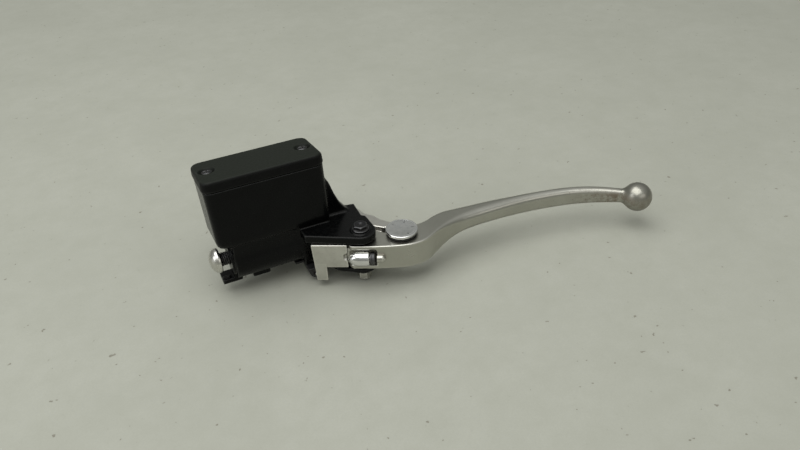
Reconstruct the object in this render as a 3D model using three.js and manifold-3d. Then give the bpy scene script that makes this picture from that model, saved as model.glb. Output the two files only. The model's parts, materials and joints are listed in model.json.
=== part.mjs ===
// Motorcycle brake master cylinder with integral reservoir, two-piece adjustable lever and brake-light switch.
// Units are millimetres, +Z is up. The lever pivot axis is vertical at (0, 0) while the pieces are made; the whole
// assembly is then moved so that the origin is on the handlebar's axis, at the middle of the clamp.
import * as THREE from 'three';
import { mergeVertices } from 'three/addons/utils/BufferGeometryUtils.js';
import Module from 'manifold-3d';

const wasm = await Module();
wasm.setup();

// ---- driving dimensions ----
const GAP = 0.3;                 // clearance between neighbouring pieces
const BAR_X = -44, BAR_Y = 64;   // handlebar axis at the middle of the clamp, from the lever pivot
const BAR_R = 11.1;              // 22.2 mm handlebar
const CLAMP_BORE_R = 11.25;
const CLAMP_W = 24;              // clamp width along the handlebar
const CLAMP_BOLT_Z = 17.5;       // clamp bolt spacing is twice this
const CYL_Y = 29.5;              // cylinder axis, from the pivot
const CYL_R = 13;                // outside radius of the cylinder
const BORE_R = 7;                // 14 mm hydraulic bore
const FACE_X = -77.5;            // hose seat face
const MOUTH_X = -14;             // bore mouth
const PISTON_END_X = 4;          // piston end at rest
const EAR_TOP = 14.5, EAR_UNDER = 9.3;      // upper lever ear
const LOW_EAR_TOP = -9.9, LOW_EAR_UNDER = -12.6, LOW_BOSS_UNDER = -15.9;
const EAR_R = 9.2;
const LEVER_TOP = 8, LEVER_BOTTOM = -9.1;   // knuckle end of the blade
const TAIL_TOP = 8.9, TAIL_BOTTOM = -7.9;   // holder's tail block
const PLATE_T = 2.8;             // fork plates of the blade
const HOLDER_BOTTOM = -6.9;
const TILT = 9.5;                // reservoir leans towards the rider, degrees
const RES_L = 71.9, RES_W = 37.3, RES_H = 36.3;  // reservoir outline at its bottom, and its height
const CAP_L = 74.5, CAP_W = 39.85, CAP_TOP = 43.3;
const DIAL_X = 24.5, DIAL_Y = -6.8, DIAL_R = 10.1;
const SPRING_D = 10.2, SPRING_Z = 0;      // adjuster spring axis, in front of the pivot
const PORT_Z = 1.2;              // hose port sits a little above the cylinder's axis
const SW_X = -27.6, SW_Z = -17.2;           // switch plunger axis
const SW_SCREW_X = -33.8, SW_SCREW_Y = 30.6;
const BALL_R = 9.7;

// ---- helpers ----
const solid = (geometry) => {
  const g = geometry.clone();
  for (const name of ['normal', 'uv']) g.deleteAttribute(name);
  const m = mergeVertices(g, 1e-4);
  const p = Float32Array.from(m.attributes.position.array);
  const t = Uint32Array.from(m.index.array);
  let volume = 0;
  for (let i = 0; i < t.length; i += 3) {
    const [a, b, c] = [t[i] * 3, t[i + 1] * 3, t[i + 2] * 3];
    volume += p[a] * (p[b + 1] * p[c + 2] - p[b + 2] * p[c + 1]) - p[a + 1] * (p[b] * p[c + 2] - p[b + 2] * p[c])
      + p[a + 2] * (p[b] * p[c + 1] - p[b + 1] * p[c]);
  }
  if (volume < 0) for (let i = 0; i < t.length; i += 3) [t[i], t[i + 1]] = [t[i + 1], t[i]];
  return new wasm.Manifold(new wasm.Mesh({ numProp: 3, vertProperties: p, triVerts: t }));
};
const add = (...list) => list.reduce((a, b) => a.add(b));
const cut = (a, ...list) => list.reduce((x, y) => x.subtract(y), a);
const moved = (geometry, matrix) => geometry.clone().applyMatrix4(matrix);
const basis = (x, y, z, origin = [0, 0, 0]) => new THREE.Matrix4()
  .makeBasis(new THREE.Vector3(...x), new THREE.Vector3(...y), new THREE.Vector3(...z))
  .setPosition(...origin);
const shapeOf = (points) => new THREE.Shape(points.map(([x, y]) => new THREE.Vector2(x, y)));
const extruded = (points, depth) => new THREE.ExtrudeGeometry(shapeOf(points), { depth, bevelEnabled: false });
// outline in XY, raised from z0 to z1
const plateZ = (points, z0, z1) => solid(extruded(points, z1 - z0).translate(0, 0, z0));
// outline in XZ, from y0 to y1
const plateY = (points, y0, y1) => solid(moved(extruded(points, y1 - y0), basis([1, 0, 0], [0, 0, 1], [0, -1, 0], [0, y1, 0])));
// outline in YZ, from x0 to x1
const plateX = (points, x0, x1) => solid(moved(extruded(points, x1 - x0), basis([0, 1, 0], [0, 0, 1], [1, 0, 0], [x0, 0, 0])));
const block = (x0, x1, y0, y1, z0, z1) => solid(new THREE.BoxGeometry(x1 - x0, y1 - y0, z1 - z0)
  .translate((x0 + x1) / 2, (y0 + y1) / 2, (z0 + z1) / 2));
// cylinder or cone from point a to point b
const rodGeometry = (r, a, b, n = 18, r2 = r) => {
  const from = new THREE.Vector3(...a), to = new THREE.Vector3(...b);
  const axis = to.clone().sub(from), length = axis.length();
  const q = new THREE.Quaternion().setFromUnitVectors(new THREE.Vector3(0, 1, 0), axis.normalize());
  return new THREE.CylinderGeometry(r2, r, length, n).applyQuaternion(q)
    .translate((from.x + to.x) / 2, (from.y + to.y) / 2, (from.z + to.z) / 2);
};
const rod = (...args) => solid(rodGeometry(...args));
// profile of [along, radius] pairs turned about the line through origin along axis
const turned = (profile, origin, axis, n = 18) => {
  const q = new THREE.Quaternion().setFromUnitVectors(new THREE.Vector3(0, 1, 0), new THREE.Vector3(...axis).normalize());
  const points = profile.map(([a, r]) => new THREE.Vector2(Math.max(r, 0), a));
  return solid(new THREE.LatheGeometry(points, n).applyQuaternion(q).translate(...origin));
};
// closed skin through rings of equal point count, flat ends
const loft = (rings) => {
  const n = rings[0].length, position = [], index = [];
  for (const ring of rings) for (const p of ring) position.push(...p);
  for (let i = 0; i + 1 < rings.length; i++) for (let j = 0; j < n; j++) {
    const a = i * n + j, b = i * n + (j + 1) % n;
    index.push(a, b, a + n, b, b + n, a + n);
  }
  const last = (rings.length - 1) * n;
  for (let j = 1; j + 1 < n; j++) index.push(0, j + 1, j, last, last + j, last + j + 1);
  const g = new THREE.BufferGeometry();
  g.setAttribute('position', new THREE.Float32BufferAttribute(position, 3));
  g.setIndex(index);
  return solid(g);
};
const arc = (cx, cy, r, a0, a1, steps) => Array.from({ length: steps + 1 }, (_, i) => {
  const a = THREE.MathUtils.degToRad(a0 + (a1 - a0) * i / steps);
  return [cx + r * Math.cos(a), cy + r * Math.sin(a)];
});
const roundedRect = (x0, x1, y0, y1, r, steps = 4) => [
  ...arc(x1 - r, y1 - r, r, 0, 90, steps), ...arc(x0 + r, y1 - r, r, 90, 180, steps),
  ...arc(x0 + r, y0 + r, r, 180, 270, steps), ...arc(x1 - r, y0 + r, r, 270, 360, steps)];
const hexagon = (acrossFlats, turn = 0) => arc(0, 0, acrossFlats / Math.sqrt(3), turn, turn + 300, 5);
const coil = (radius, wire, a0, a1, turns, origin, axis, steps = 12, sides = 6) => {
  const z = new THREE.Vector3(...axis).normalize();
  const x = new THREE.Vector3(0, 0, 1).cross(z).length() > 0.1 ? new THREE.Vector3(0, 0, 1).cross(z).normalize() : new THREE.Vector3(1, 0, 0);
  const y = z.clone().cross(x), points = [];
  const count = Math.round(turns * steps);
  for (let i = 0; i <= count; i++) {
    const t = i / count * turns * 2 * Math.PI;
    points.push(new THREE.Vector3(...origin).addScaledVector(z, a0 + (a1 - a0) * i / count)
      .addScaledVector(x, radius * Math.cos(t)).addScaledVector(y, radius * Math.sin(t)));
  }
  const path = new THREE.CatmullRomCurve3(points);
  const section = new THREE.Shape();
  section.absarc(0, 0, wire, 0, 2 * Math.PI);
  return solid(new THREE.ExtrudeGeometry(section, { extrudePath: path, steps: count, curveSegments: Math.round(sides / 2), bevelEnabled: false }));
};

// ---- materials ----
const finish = (color, roughness, metalness) => new THREE.MeshStandardMaterial({ color, roughness, metalness });
const BLACK_CAST = finish(0x0b0c0e, 0.35, 0.4);
const CAP_PAINT = finish(0x33382f, 0.5, 0.1);
const ALUMINIUM = finish(0x9a978a, 0.4, 0.9);
const STEEL = finish(0xb9bbb8, 0.25, 1.0);
const BLACK_STEEL = finish(0x121315, 0.4, 0.8);
const BRASS = finish(0xb08a3c, 0.35, 1.0);
const RUBBER = finish(0x101010, 0.85, 0.0);
const PLASTIC = finish(0x15161a, 0.55, 0.0);
const GLASS = finish(0xd8e6e2, 0.05, 0.0);

const assembly = new THREE.Group();
const piece = (name, manifold, material) => {
  const mesh = manifold.getMesh(), n = mesh.numProp;
  const position = new Float32Array(mesh.vertProperties.length / n * 3);
  for (let i = 0; i < position.length / 3; i++) for (let k = 0; k < 3; k++) position[3 * i + k] = mesh.vertProperties[n * i + k];
  const g = new THREE.BufferGeometry();
  g.setAttribute('position', new THREE.BufferAttribute(position, 3));
  g.setIndex(new THREE.BufferAttribute(Uint32Array.from(mesh.triVerts), 1));
  g.computeVertexNormals();
  const m = new THREE.Mesh(g, material);
  m.name = name;
  assembly.add(m);
  return m;
};

// ---- reservoir frame: u along the handlebar, v across, w up the leaning wall ----
const tilt = THREE.MathUtils.degToRad(TILT);
const RES = basis([1, 0, 0], [0, Math.cos(tilt), -Math.sin(tilt)], [0, Math.sin(tilt), Math.cos(tilt)], [-48.05, 16.2, 17.2]);
const leaned = (manifold) => manifold.transform(RES.elements);
const tray = (levels) => loft(levels.map(([w, l, v0, v1, r]) => roundedRect(-l / 2, l / 2, v0, v1, r).map(([a, b]) => [a, b, w])));
const rodW = (r, u, v, w0, w1, n = 14, r2 = r) => rod(r, [u, v, w0], [u, v, w1], n, r2);
const SCREW_U = 29.8, SCREW_V = 19.6;

// ---- body: cylinder, reservoir, lever ears and fixed clamp half in one casting ----
const earOutline = [[-33, 24], [-33, 9.6], [-31, 8.4], ...arc(0, 0, EAR_R, 238, 360, 12), [9, 4], [8.7, 13.2], [6.6, 14.9], [7.3, 29.6], [-0.5, 31], [-14.5, 36]];
const lowEarOutline = [[-31, 24], [-31, 18], [-21, 13.5], [-17, 1.2], ...arc(0, 0, EAR_R, 240, 360, 12), [8.6, 6], [8.2, 14], [7.3, 29.6], [-0.5, 31], [-14.5, 36]];
let casting = add(
  rod(CYL_R, [-75.6, CYL_Y, 0], [MOUTH_X, CYL_Y, 0], 32),
  rod(10.6, [FACE_X, CYL_Y, 0], [-75, CYL_Y, 0], 28),
  plateX([[19, 0], [17.6, 18], [30, 20], [45, 14], [42.4, 0]], -75.6, -13.6),
  leaned(tray([[-1.5, 66.5, 3.5, 33.6, 4], [0.6, 70.9, 0.9, 36.2, 5], [3.2, RES_L, 0, RES_W, 5.2], [RES_H, 73.5, -0.8, 38.1, 5.6]])),
  plateZ(earOutline, EAR_UNDER, EAR_TOP),
  plateZ(lowEarOutline, LOW_EAR_UNDER, LOW_EAR_TOP),
  block(-33, -14, 17, 30, LOW_EAR_UNDER, EAR_TOP),
  rod(6.4, [0, 0, EAR_TOP - 0.5], [0, 0, EAR_TOP + 0.6], 24),
  rod(5.6, [0, 0, LOW_EAR_UNDER + 0.5], [0, 0, LOW_BOSS_UNDER], 24),
  plateY([[-14, 13], [1.2, 13], [0.6, 15.5], [-3.6, 21.5], [-6.6, 29], [-9.4, 38], [-11.6, 42], [-14, 42]], 23.5, 29.5),
  // hose stop lug, a small foot and the switch's screw boss under the cylinder
  block(-84.4, -72, 24.5, 35, -14.8, -11.6),
  block(-77, -72, 25, 34, -13, -8),
  block(-65.3, -54.2, 24, 31, -15.2, -8),
  rod(3.1, [SW_SCREW_X, SW_SCREW_Y, -14.5], [SW_SCREW_X, SW_SCREW_Y, -9], 16),
  // fixed half of the clamp, with its two bolt bosses
  plateX([[38, -11.5], [38, 12], [50, 13.5], [52.5, 23.5], [63.7, 23.5], [63.7, -23.5], [52.5, -23.5], [50, -13.5]],
    BAR_X - CLAMP_W / 2, BAR_X + CLAMP_W / 2),
);
casting = cut(casting,
  rod(CLAMP_BORE_R, [BAR_X - 20, BAR_Y, 0], [BAR_X + 20, BAR_Y, 0], 32),
  rod(BORE_R, [-66, CYL_Y, 0], [MOUTH_X + 1, CYL_Y, 0], 24),
  rod(9.5, [-18.2, CYL_Y, 0], [MOUTH_X + 1, CYL_Y, 0], 24),
  rod(4.8, [FACE_X - 1, CYL_Y, PORT_Z], [-65, CYL_Y, PORT_Z], 20),
  rod(3.3, [0, 0, -19], [0, 0, 17], 18),
  rod(1.5, [-37.5, CYL_Y, 3], [-37.5, CYL_Y, 26], 12),
  rod(0.7, [-45.4, CYL_Y, 3], [-45.4, CYL_Y, 26], 10),
  // fluid space, with the two screw posts left standing
  leaned(cut(tray([[4.5, RES_L - 10, 4.6, RES_W - 4.6, 4], [7, RES_L - 7.4, 3.4, RES_W - 3.4, 4], [RES_H + 1, 66.2, 3.4, 34.2, 4]]),
    rodW(4.4, -SCREW_U, SCREW_V, 0, 40), rodW(4.4, SCREW_U, SCREW_V, 0, 40),
    block(-37, -SCREW_U, SCREW_V - 2.4, SCREW_V + 2.4, 0, 40), block(SCREW_U, 37, SCREW_V - 2.4, SCREW_V + 2.4, 0, 40))),
  leaned(rodW(2.2, -SCREW_U, SCREW_V, 20, 40)), leaned(rodW(2.2, SCREW_U, SCREW_V, 20, 40)),
  // sight glass seat on the rider's side
  leaned(rod(6.4, [-12, 30, 20], [-12, 45, 20], 20)),
  ...[-1, 1].map((s) => rod(3.3, [BAR_X, 54.2, s * CLAMP_BOLT_Z], [BAR_X, 66, s * CLAMP_BOLT_Z], 20)),
  rod(1.7, [SW_SCREW_X, SW_SCREW_Y, -16], [SW_SCREW_X, SW_SCREW_Y, -10.2], 14),
);
piece('body', casting, BLACK_CAST);

// ---- reservoir closure ----
piece('diaphragm', leaned(cut(
  add(tray([[36.6, 69.2, 1.6, 35.9, 4.6], [38.1, 69.2, 1.6, 35.9, 4.6]]), tray([[27, 50.4, 6.6, 31, 4], [37, 50.4, 6.2, 31.4, 4]])),
  tray([[28.3, 47.8, 8, 29.6, 3], [39, 47.8, 7.6, 30, 3]]),
  rodW(2.3, -SCREW_U, SCREW_V, 30, 40), rodW(2.3, SCREW_U, SCREW_V, 30, 40))), RUBBER);
piece('diaphragm_plate', leaned(cut(tray([[38.4, 68.8, 1.8, 35.7, 4.5], [39.4, 68.8, 1.8, 35.7, 4.5]]),
  rodW(2.3, -SCREW_U, SCREW_V, 30, 42), rodW(2.3, SCREW_U, SCREW_V, 30, 42))), PLASTIC);
piece('reservoir_cap', leaned(cut(
  tray([[36.6, CAP_L - 0.8, -0.86, 38.2, 5.6], [37.4, CAP_L, -1.26, 38.59, 6], [CAP_TOP - 1.5, CAP_L - 0.3, -1.1, 38.44, 6], [CAP_TOP - 0.5, CAP_L - 1.4, -0.56, 37.9, 5.4],
    [CAP_TOP, CAP_L - 3.2, 0.34, 37, 4.6]]),
  tray([[35, 70, 1.2, 36.3, 4.8], [39.7, 70, 1.2, 36.3, 4.8]]),
  ...[-1, 1].flatMap((s) => [rodW(2.3, s * SCREW_U, SCREW_V, 30, 45), rodW(2.3, s * SCREW_U, SCREW_V, 41.0, 44.0, 16, 5.3)]))), CAP_PAINT);
for (const [name, s] of [['cap_screw_left', -1], ['cap_screw_right', 1]]) {
  piece(name, leaned(cut(turned([[24, 0], [24, 1.9], [41.0, 1.9], [43.05, 3.9], [43.3, 3.8], [43.35, 0]], [s * SCREW_U, SCREW_V, 0], [0, 0, 1], 16),
    block(s * SCREW_U - 2.2, s * SCREW_U + 2.2, SCREW_V - 0.45, SCREW_V + 0.45, 42.2, 44),
    block(s * SCREW_U - 0.45, s * SCREW_U + 0.45, SCREW_V - 2.2, SCREW_V + 2.2, 42.2, 44))), STEEL);
}
piece('port_baffle', leaned(add(tray([[6.6, 26, 9, 18, 1.5], [7.4, 26, 9, 18, 1.5]]).translate(5, 0, 0),
  rodW(1, -5, 13.5, 4.9, 7, 10), rodW(1, 15, 13.5, 4.9, 7, 10))), STEEL);
piece('sight_glass', leaned(turned([[34.6, 0], [34.6, 6.0], [37.5, 6.0], [37.5, 0]], [-12, 0, 20], [0, 1, 0], 20)), GLASS);
piece('sight_glass_ring', leaned(turned([[37.9, 3.9], [37.9, 7.6], [39.3, 7.2], [39.3, 4.2], [37.9, 3.9]], [-12, 0, 20], [0, 1, 0], 20)), BLACK_STEEL);

// ---- hydraulics, on the cylinder's axis ----
const onBore = (profile, n = 20) => turned(profile, [0, CYL_Y, 0], [1, 0, 0], n);
piece('return_spring', coil(5.2, 0.65, -65, -44.8, 5.5, [0, CYL_Y, 0], [1, 0, 0], 9, 4), STEEL);
piece('primary_cup', onBore([[-43.9, 5.2], [-43.9, 6.7], [-40.4, 6.7], [-40.4, 2.2], [-41.4, 2.2], [-41.4, 4.0], [-43.9, 5.2]]), RUBBER);
piece('piston', onBore([[-44.6, 0], [-44.6, 1.8], [-40.1, 1.8], [-40.1, 6.7], [-38.6, 6.7], [-38.6, 4.6], [-25.2, 4.6], [-25.2, 6.7], [-24.0, 6.7], [-24.0, 5.0],
  [-20.4, 5.0], [-20.4, 6.7], [-18.6, 6.7], [-18.6, 4.0], [PISTON_END_X - 0.8, 4.0], [PISTON_END_X, 3.2], [PISTON_END_X, 0]]), ALUMINIUM);
piece('secondary_cup', onBore([[-23.7, 5.3], [-23.7, 6.7], [-20.7, 6.7], [-20.7, 5.3], [-23.7, 5.3]]), RUBBER);
piece('piston_washer', onBore([[-17.9, 4.3], [-17.9, 9.1], [-16.9, 9.1], [-16.9, 4.3], [-17.9, 4.3]]), STEEL);
piece('circlip', cut(onBore([[-16.6, 7.0], [-16.6, 9.1], [-15.6, 9.1], [-15.6, 7.0], [-16.6, 7.0]]), block(-17, -15, CYL_Y - 2, CYL_Y + 2, -10, -5)), BLACK_STEEL);
piece('dust_boot', onBore([[-15.3, 4.4], [-15.3, 9.0], [-13.2, 9.0], [-12.6, 6.2], [-10.8, 8.0], [-9, 6.0], [-7.2, 7.4], [-5.4, 5.6], [-3.6, 6.6], [-1.6, 5.6], [-1.6, 4.4],
  [-3.6, 5.2], [-5.4, 4.4], [-7.2, 6.0], [-9, 4.6], [-10.8, 6.6], [-12.6, 4.8], [-13.6, 4.4], [-15.3, 4.4]]), RUBBER);

// ---- round-headed bolt in the hose port, part way in ----
piece('hose_bolt', cut(turned([[-89.6, 0], [-89.5, 1.9], [-89.1, 3.6], [-88.3, 5.3], [-87.1, 6.7], [-85.8, 7.6], [-84.4, 8.0], [-83.4, 7.9], [-82.9, 7.3], [-82.9, 4.4], [-66.9, 4.4], [-66.0, 3.6], [-66.0, 0]],
  [0, CYL_Y, PORT_Z], [1, 0, 0], 24),
  rod(1.7, [-76, CYL_Y, PORT_Z], [-65, CYL_Y, PORT_Z], 14), rod(1.3, [-74, CYL_Y, PORT_Z - 6], [-74, CYL_Y, PORT_Z + 6], 12)), STEEL);

// ---- lever pivot ----
piece('pivot_bolt', add(
  plateZ(hexagon(8, 12), EAR_TOP + 1.5, EAR_TOP + 3.9),
  turned([[EAR_TOP + 0.9, 0], [EAR_TOP + 0.9, 5.4], [EAR_TOP + 1.6, 5.4], [EAR_TOP + 1.6, 0]], [0, 0, 0], [0, 0, 1], 20),
  turned([[-22.0, 0], [-22.0, 2.4], [-21.5, 2.9], [EAR_TOP + 1.2, 2.9], [EAR_TOP + 1.2, 0]], [0, 0, 0], [0, 0, 1], 18),
  turned([[EAR_TOP + 3.8, 0], [EAR_TOP + 3.8, 3.9], [EAR_TOP + 4.2, 3.2], [EAR_TOP + 4.2, 0]], [0, 0, 0], [0, 0, 1], 14)), BLACK_STEEL);
piece('pivot_bush', cut(rod(3.9, [0, 0, -9.6], [0, 0, 9.0], 18), rod(3.2, [0, 0, -10], [0, 0, 10], 18)), BRASS);
piece('pivot_nut', cut(plateZ(hexagon(8, 0), -21.6, -16.2).intersect(turned([[-21.6, 0], [-21.6, 3.7], [-20.9, 4.62], [-16.2, 4.62], [-16.2, 0]], [0, 0, 0], [0, 0, 1], 24)),
  rod(3.2, [0, 0, -23], [0, 0, -12], 16)), STEEL);

// ---- line of the adjuster spring: s runs along it, D is the distance in front of the pivot ----
const DIR = [0.883, -0.47], NRM = [-0.47, -0.883];
const sd = (s, d) => [DIR[0] * s + NRM[0] * d, DIR[1] * s + NRM[1] * d];
const onSpring = (profile, n = 18) => turned(profile, [...sd(0, SPRING_D), SPRING_Z], [...DIR, 0], n);

// ---- lever holder: tail block, knuckle, pusher arm and cam follower ----
const slant = (z) => -30.3 + (TAIL_TOP - z) * 0.055;   // the tail's outer end leans inwards towards the bottom
const tailRing = (z) => [sd(slant(z), 9.1), sd(slant(z) + 1.2, 9.35), sd(-8.2, 9.1), sd(-8.2, -1.5), sd(-16, -1.2), sd(slant(z), 0.8)].map(([x, y]) => [x, y, z]);
const legRing = (z) => [sd(slant(z), 9.1), sd(slant(z) + 1.2, 9.35), sd(-21.8, 9.2), sd(-21.8, 4.6), sd(slant(z), 4.6)].map(([x, y]) => [x, y, z]);
const tail = cut(loft([tailRing(TAIL_BOTTOM), tailRing(TAIL_TOP)]), rod(11.2, [0, 0, -20], [0, 0, 20], 36));
const leg = loft([legRing(-18.2), legRing(TAIL_BOTTOM + 1)]);
const arm = plateZ([[4.9, 25.5], [3.4, 20], [1.4, 12.6], ...arc(0, 0, 11.2, 80, 62, 3), [9.4, 10.9], [11.4, 9], [16.8, 3.9], [22.6, 2.6], [23.4, 7.1], [18.4, 13.7],
  [16.6, 19.2], [13.1, 23.4], [12, 25.2], [10.8, 31.2], [8.6, 33], [6.8, 33], [5.9, 32.2]], HOLDER_BOTTOM, LEVER_TOP);
const tongue = plateZ([...arc(0, 0, 8, 200, 300, 8), [8.6, 0.2], [9.4, 4], [16, 4.6], [15, 9], [6, 16], [1.4, 13], [-6, 9.2], sd(-12, -1.2), sd(-12, 6.2)], -5.9, 4.8);
const nose = plateZ([[21.2, 0.9], [22.2, 0.35], [25.2, 0.35], [26.2, 1.0], [25.6, 5.2], [20.6, 7.2]], -4.5, 4.5);
let holder = add(tail, leg, arm, tongue, nose, rod(3.1, [7.4, CYL_Y, -5.2], [7.4, CYL_Y, 5.2], 18));
holder = cut(holder, rod(4.25, [0, 0, -20], [0, 0, 20], 20),
  onSpring([[-8.9, 0], [-8.9, 1.8], [-6.2, 3.9], [-3.4, 5.4], [14, 5.4], [14, 0]]),
  onSpring([[-11, 0], [-11, 2.4], [-7, 4.6], [-7, 0]]));
piece('lever_holder', holder, ALUMINIUM);

// ---- lever blade ----
const frontEdge = [[11, -15.6], [18.1, -18.4], [22.5, -19.7], [26.6, -20.4], [31, -20.4], [35, -19.7], [39.5, -17.9], [44, -15.5]];
const rearEdge = [[44, -0.8], [37.2, -2.4], [31, -2.2], [24, -1.7], [18.4, -1.5], [15.6, -1.1]];
const plateOutline = [...arc(0, 0, 10.3, 214, 28, 18), [11.1, 3.4], ...rearEdge.slice().reverse(), ...frontEdge.slice().reverse(), sd(10.9, 9.1), sd(0, 9.1)];
const midOutline = [...arc(0, 0, 9.5, -52, -12, 4), [13.9, -2.2], ...rearEdge.slice().reverse(), ...frontEdge.slice().reverse(), sd(10.9, 9.1), sd(10.9, 6)];
const OUT = [[0.16, 0], [0.05, 0.04], [0, 0.14], [-0.02, 0.5], [0, 0.86], [0.05, 0.96], [0.14, 1], [0.45, 1.01], [0.72, 0.96], [0.9, 0.85], [1, 0.64], [1, 0.38], [0.9, 0.16], [0.7, 0.03], [0.43, -0.01]];
const stations = [
  [[36, -19.5], [36, -2.8], 7.7, -9.0], [[44, -15.5], [44, -0.8], 7.6, -8.8], [[50, -12.8], [50, 2.6], 7.2, -7.6], [[58, -10.1], [58, 5.4], 6.8, -6.6],
  [[66, -8.5], [66, 6.0], 6.4, -6.1], [[75, -7.7], [75, 5.6], 6.2, -6.0], [[85, -7.4], [85, 4.9], 6.1, -6.2], [[96, -7.4], [96, 3.6], 6.0, -6.5],
  [[107, -7.7], [107, 1.9], 5.9, -6.9], [[118, -8.6], [118.4, 0.2], 5.8, -7.2], [[128, -10.0], [128.8, -1.7], 5.7, -7.4], [[138, -11.9], [139.2, -3.9], 5.5, -7.5],
  [[147, -14.2], [148.8, -6.6], 5.3, -7.4], [[156, -17.5], [158.6, -10.3], 5.0, -7.2], [[164, -21.3], [167.4, -14.8], 4.6, -6.9], [[171, -25.4], [175, -19.8], 4.2, -6.5],
  [[176.4, -28.9], [180.6, -23.9], 3.8, -6.1], [[182, -32.8], [186.2, -28.0], 3.4, -5.7]];
const rings = stations.map(([f, r, zt, zb]) => OUT.map(([t, s]) => [f[0] + (r[0] - f[0]) * t, f[1] + (r[1] - f[1]) * t, zb + (zt - zb) * s]));
let blade = add(
  plateZ(plateOutline, LEVER_TOP - PLATE_T, LEVER_TOP),
  plateZ(plateOutline, LEVER_BOTTOM, LEVER_BOTTOM + PLATE_T),
  plateZ(midOutline, LEVER_BOTTOM + 1, LEVER_TOP - 1),
  loft(rings),
  solid(new THREE.SphereGeometry(BALL_R, 20, 12).rotateX(Math.PI / 2).translate(186.6, -32.4, -1.2)),
  rod(2.6, [...sd(9.9, SPRING_D), SPRING_Z], [...sd(13, SPRING_D), SPRING_Z], 20),
  solid(new THREE.SphereGeometry(2.6, 16, 12).translate(...sd(13, SPRING_D), SPRING_Z)));
blade = cut(blade,
  rod(4.25, [0, 0, -20], [0, 0, 20], 20),
  rod(3.3, [DIAL_X, DIAL_Y, -20], [DIAL_X, DIAL_Y, 20], 18),
  rod(7.6, [DIAL_X, DIAL_Y, -5], [DIAL_X, DIAL_Y, 5], 24),
  block(DIAL_X - 7.6, DIAL_X + 7.6, DIAL_Y, 6, -5, 5));
piece('lever_blade', blade, ALUMINIUM);
piece('plunger_cap', onSpring([[-7.6, 0], [-7.4, 1.3], [-6.2, 2.8], [-3.6, 4.4], [-1.4, 4.85], [0.6, 4.9], [5.2, 4.7], [5.7, 4.3], [5.7, 2.1], [8.2, 2.1], [8.2, 0]], 20), STEEL);
piece('adjuster_spring', coil(3.5, 0.6, 6.5, 8.9, 2.0, [...sd(0, SPRING_D), SPRING_Z], [...DIR, 0], 10, 6), BLACK_STEEL);

// ---- reach dial, its cam and clip ----
piece('reach_dial', turned([[LEVER_BOTTOM - 1.4, 0], [LEVER_BOTTOM - 1.4, 2.9], [LEVER_TOP + 1.9, 2.9], [LEVER_TOP + 1.9, DIAL_R - 0.3], [LEVER_TOP + 2.1, DIAL_R],
  [LEVER_TOP + 3.0, DIAL_R], [LEVER_TOP + 3.7, DIAL_R - 1.0], [LEVER_TOP + 3.7, 0]], [DIAL_X, DIAL_Y, 0], [0, 0, 1], 32), STEEL);
piece('dial_ring', turned([[LEVER_TOP + GAP, 3.3], [LEVER_TOP + GAP, 9.6], [LEVER_TOP + 1.6, 9.6], [LEVER_TOP + 1.6, 3.3], [LEVER_TOP + GAP, 3.3]], [DIAL_X, DIAL_Y, 0], [0, 0, 1], 28), RUBBER);
const camOutline = Array.from({ length: 24 }, (_, i) => {
  const a = i * 15, back = (90 - a + 360) % 360;      // angle turned to bring this point to the follower
  const r = back <= 270 ? 6.8 - 2.2 * back / 270 : 4.6 + 2.2 * (back - 270) / 90;
  const t = THREE.MathUtils.degToRad(a);
  return [DIAL_X + r * Math.cos(t), DIAL_Y + r * Math.sin(t)];
});
piece('dial_cam', cut(plateZ(camOutline, -4.6, 4.6), rod(3.2, [DIAL_X, DIAL_Y, -6], [DIAL_X, DIAL_Y, 6], 16)), STEEL);
piece('dial_clip', cut(turned([[LEVER_BOTTOM - 1.2, 3.2], [LEVER_BOTTOM - 1.2, 5.2], [LEVER_BOTTOM - 0.4, 5.2], [LEVER_BOTTOM - 0.4, 3.2], [LEVER_BOTTOM - 1.2, 3.2]], [DIAL_X, DIAL_Y, 0], [0, 0, 1], 16),
  block(DIAL_X - 1.6, DIAL_X + 1.6, DIAL_Y - 8, DIAL_Y - 1, -12, -8)), BLACK_STEEL);

// ---- brake-light switch under the ears ----
piece('switch_housing', cut(add(
  plateY([[-32.6, -13.1], [-32.4, -16.4], [-31.2, -19.2], [-29.8, -20.4], [-23.8, -20.4], [-23, -19.6], [-23, -13.1]], 11.9, 27.6),
  block(-37.4, -30, 25, 34.4, -16.4, -14.8)),
  rod(1.9, [SW_X, 10, SW_Z], [SW_X, 22.2, SW_Z], 16),
  rod(1.7, [SW_SCREW_X, SW_SCREW_Y, -22], [SW_SCREW_X, SW_SCREW_Y, -12], 14)), PLASTIC);
piece('switch_plunger', turned([[9.9, 0], [9.9, 1.2], [10.2, 1.55], [17.4, 1.55], [17.4, 0]], [SW_X, 0, SW_Z], [0, 1, 0], 16), STEEL);
piece('switch_spring', coil(1.1, 0.25, 18.0, 21.6, 3, [SW_X, 0, SW_Z], [0, 1, 0], 8, 4), STEEL);
piece('switch_screw', cut(turned([[-18.9, 0], [-18.9, 1.9], [-18.2, 2.5], [-16.7, 2.5], [-16.7, 1.4], [-11.2, 1.4], [-10.9, 0]], [SW_SCREW_X, SW_SCREW_Y, 0], [0, 0, 1], 18),
  block(SW_SCREW_X - 1.5, SW_SCREW_X + 1.5, SW_SCREW_Y - 0.35, SW_SCREW_Y + 0.35, -19.2, -18.1), block(SW_SCREW_X - 0.35, SW_SCREW_X + 0.35, SW_SCREW_Y - 1.5, SW_SCREW_Y + 1.5, -19.2, -18.1)), STEEL);
piece('switch_terminal_front', block(-30.8, -28, 27.9, 31.4, -17.9, -17.1), BRASS);
piece('switch_terminal_rear', block(-26.6, -23.8, 27.9, 31.4, -17.9, -17.1), BRASS);

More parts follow.
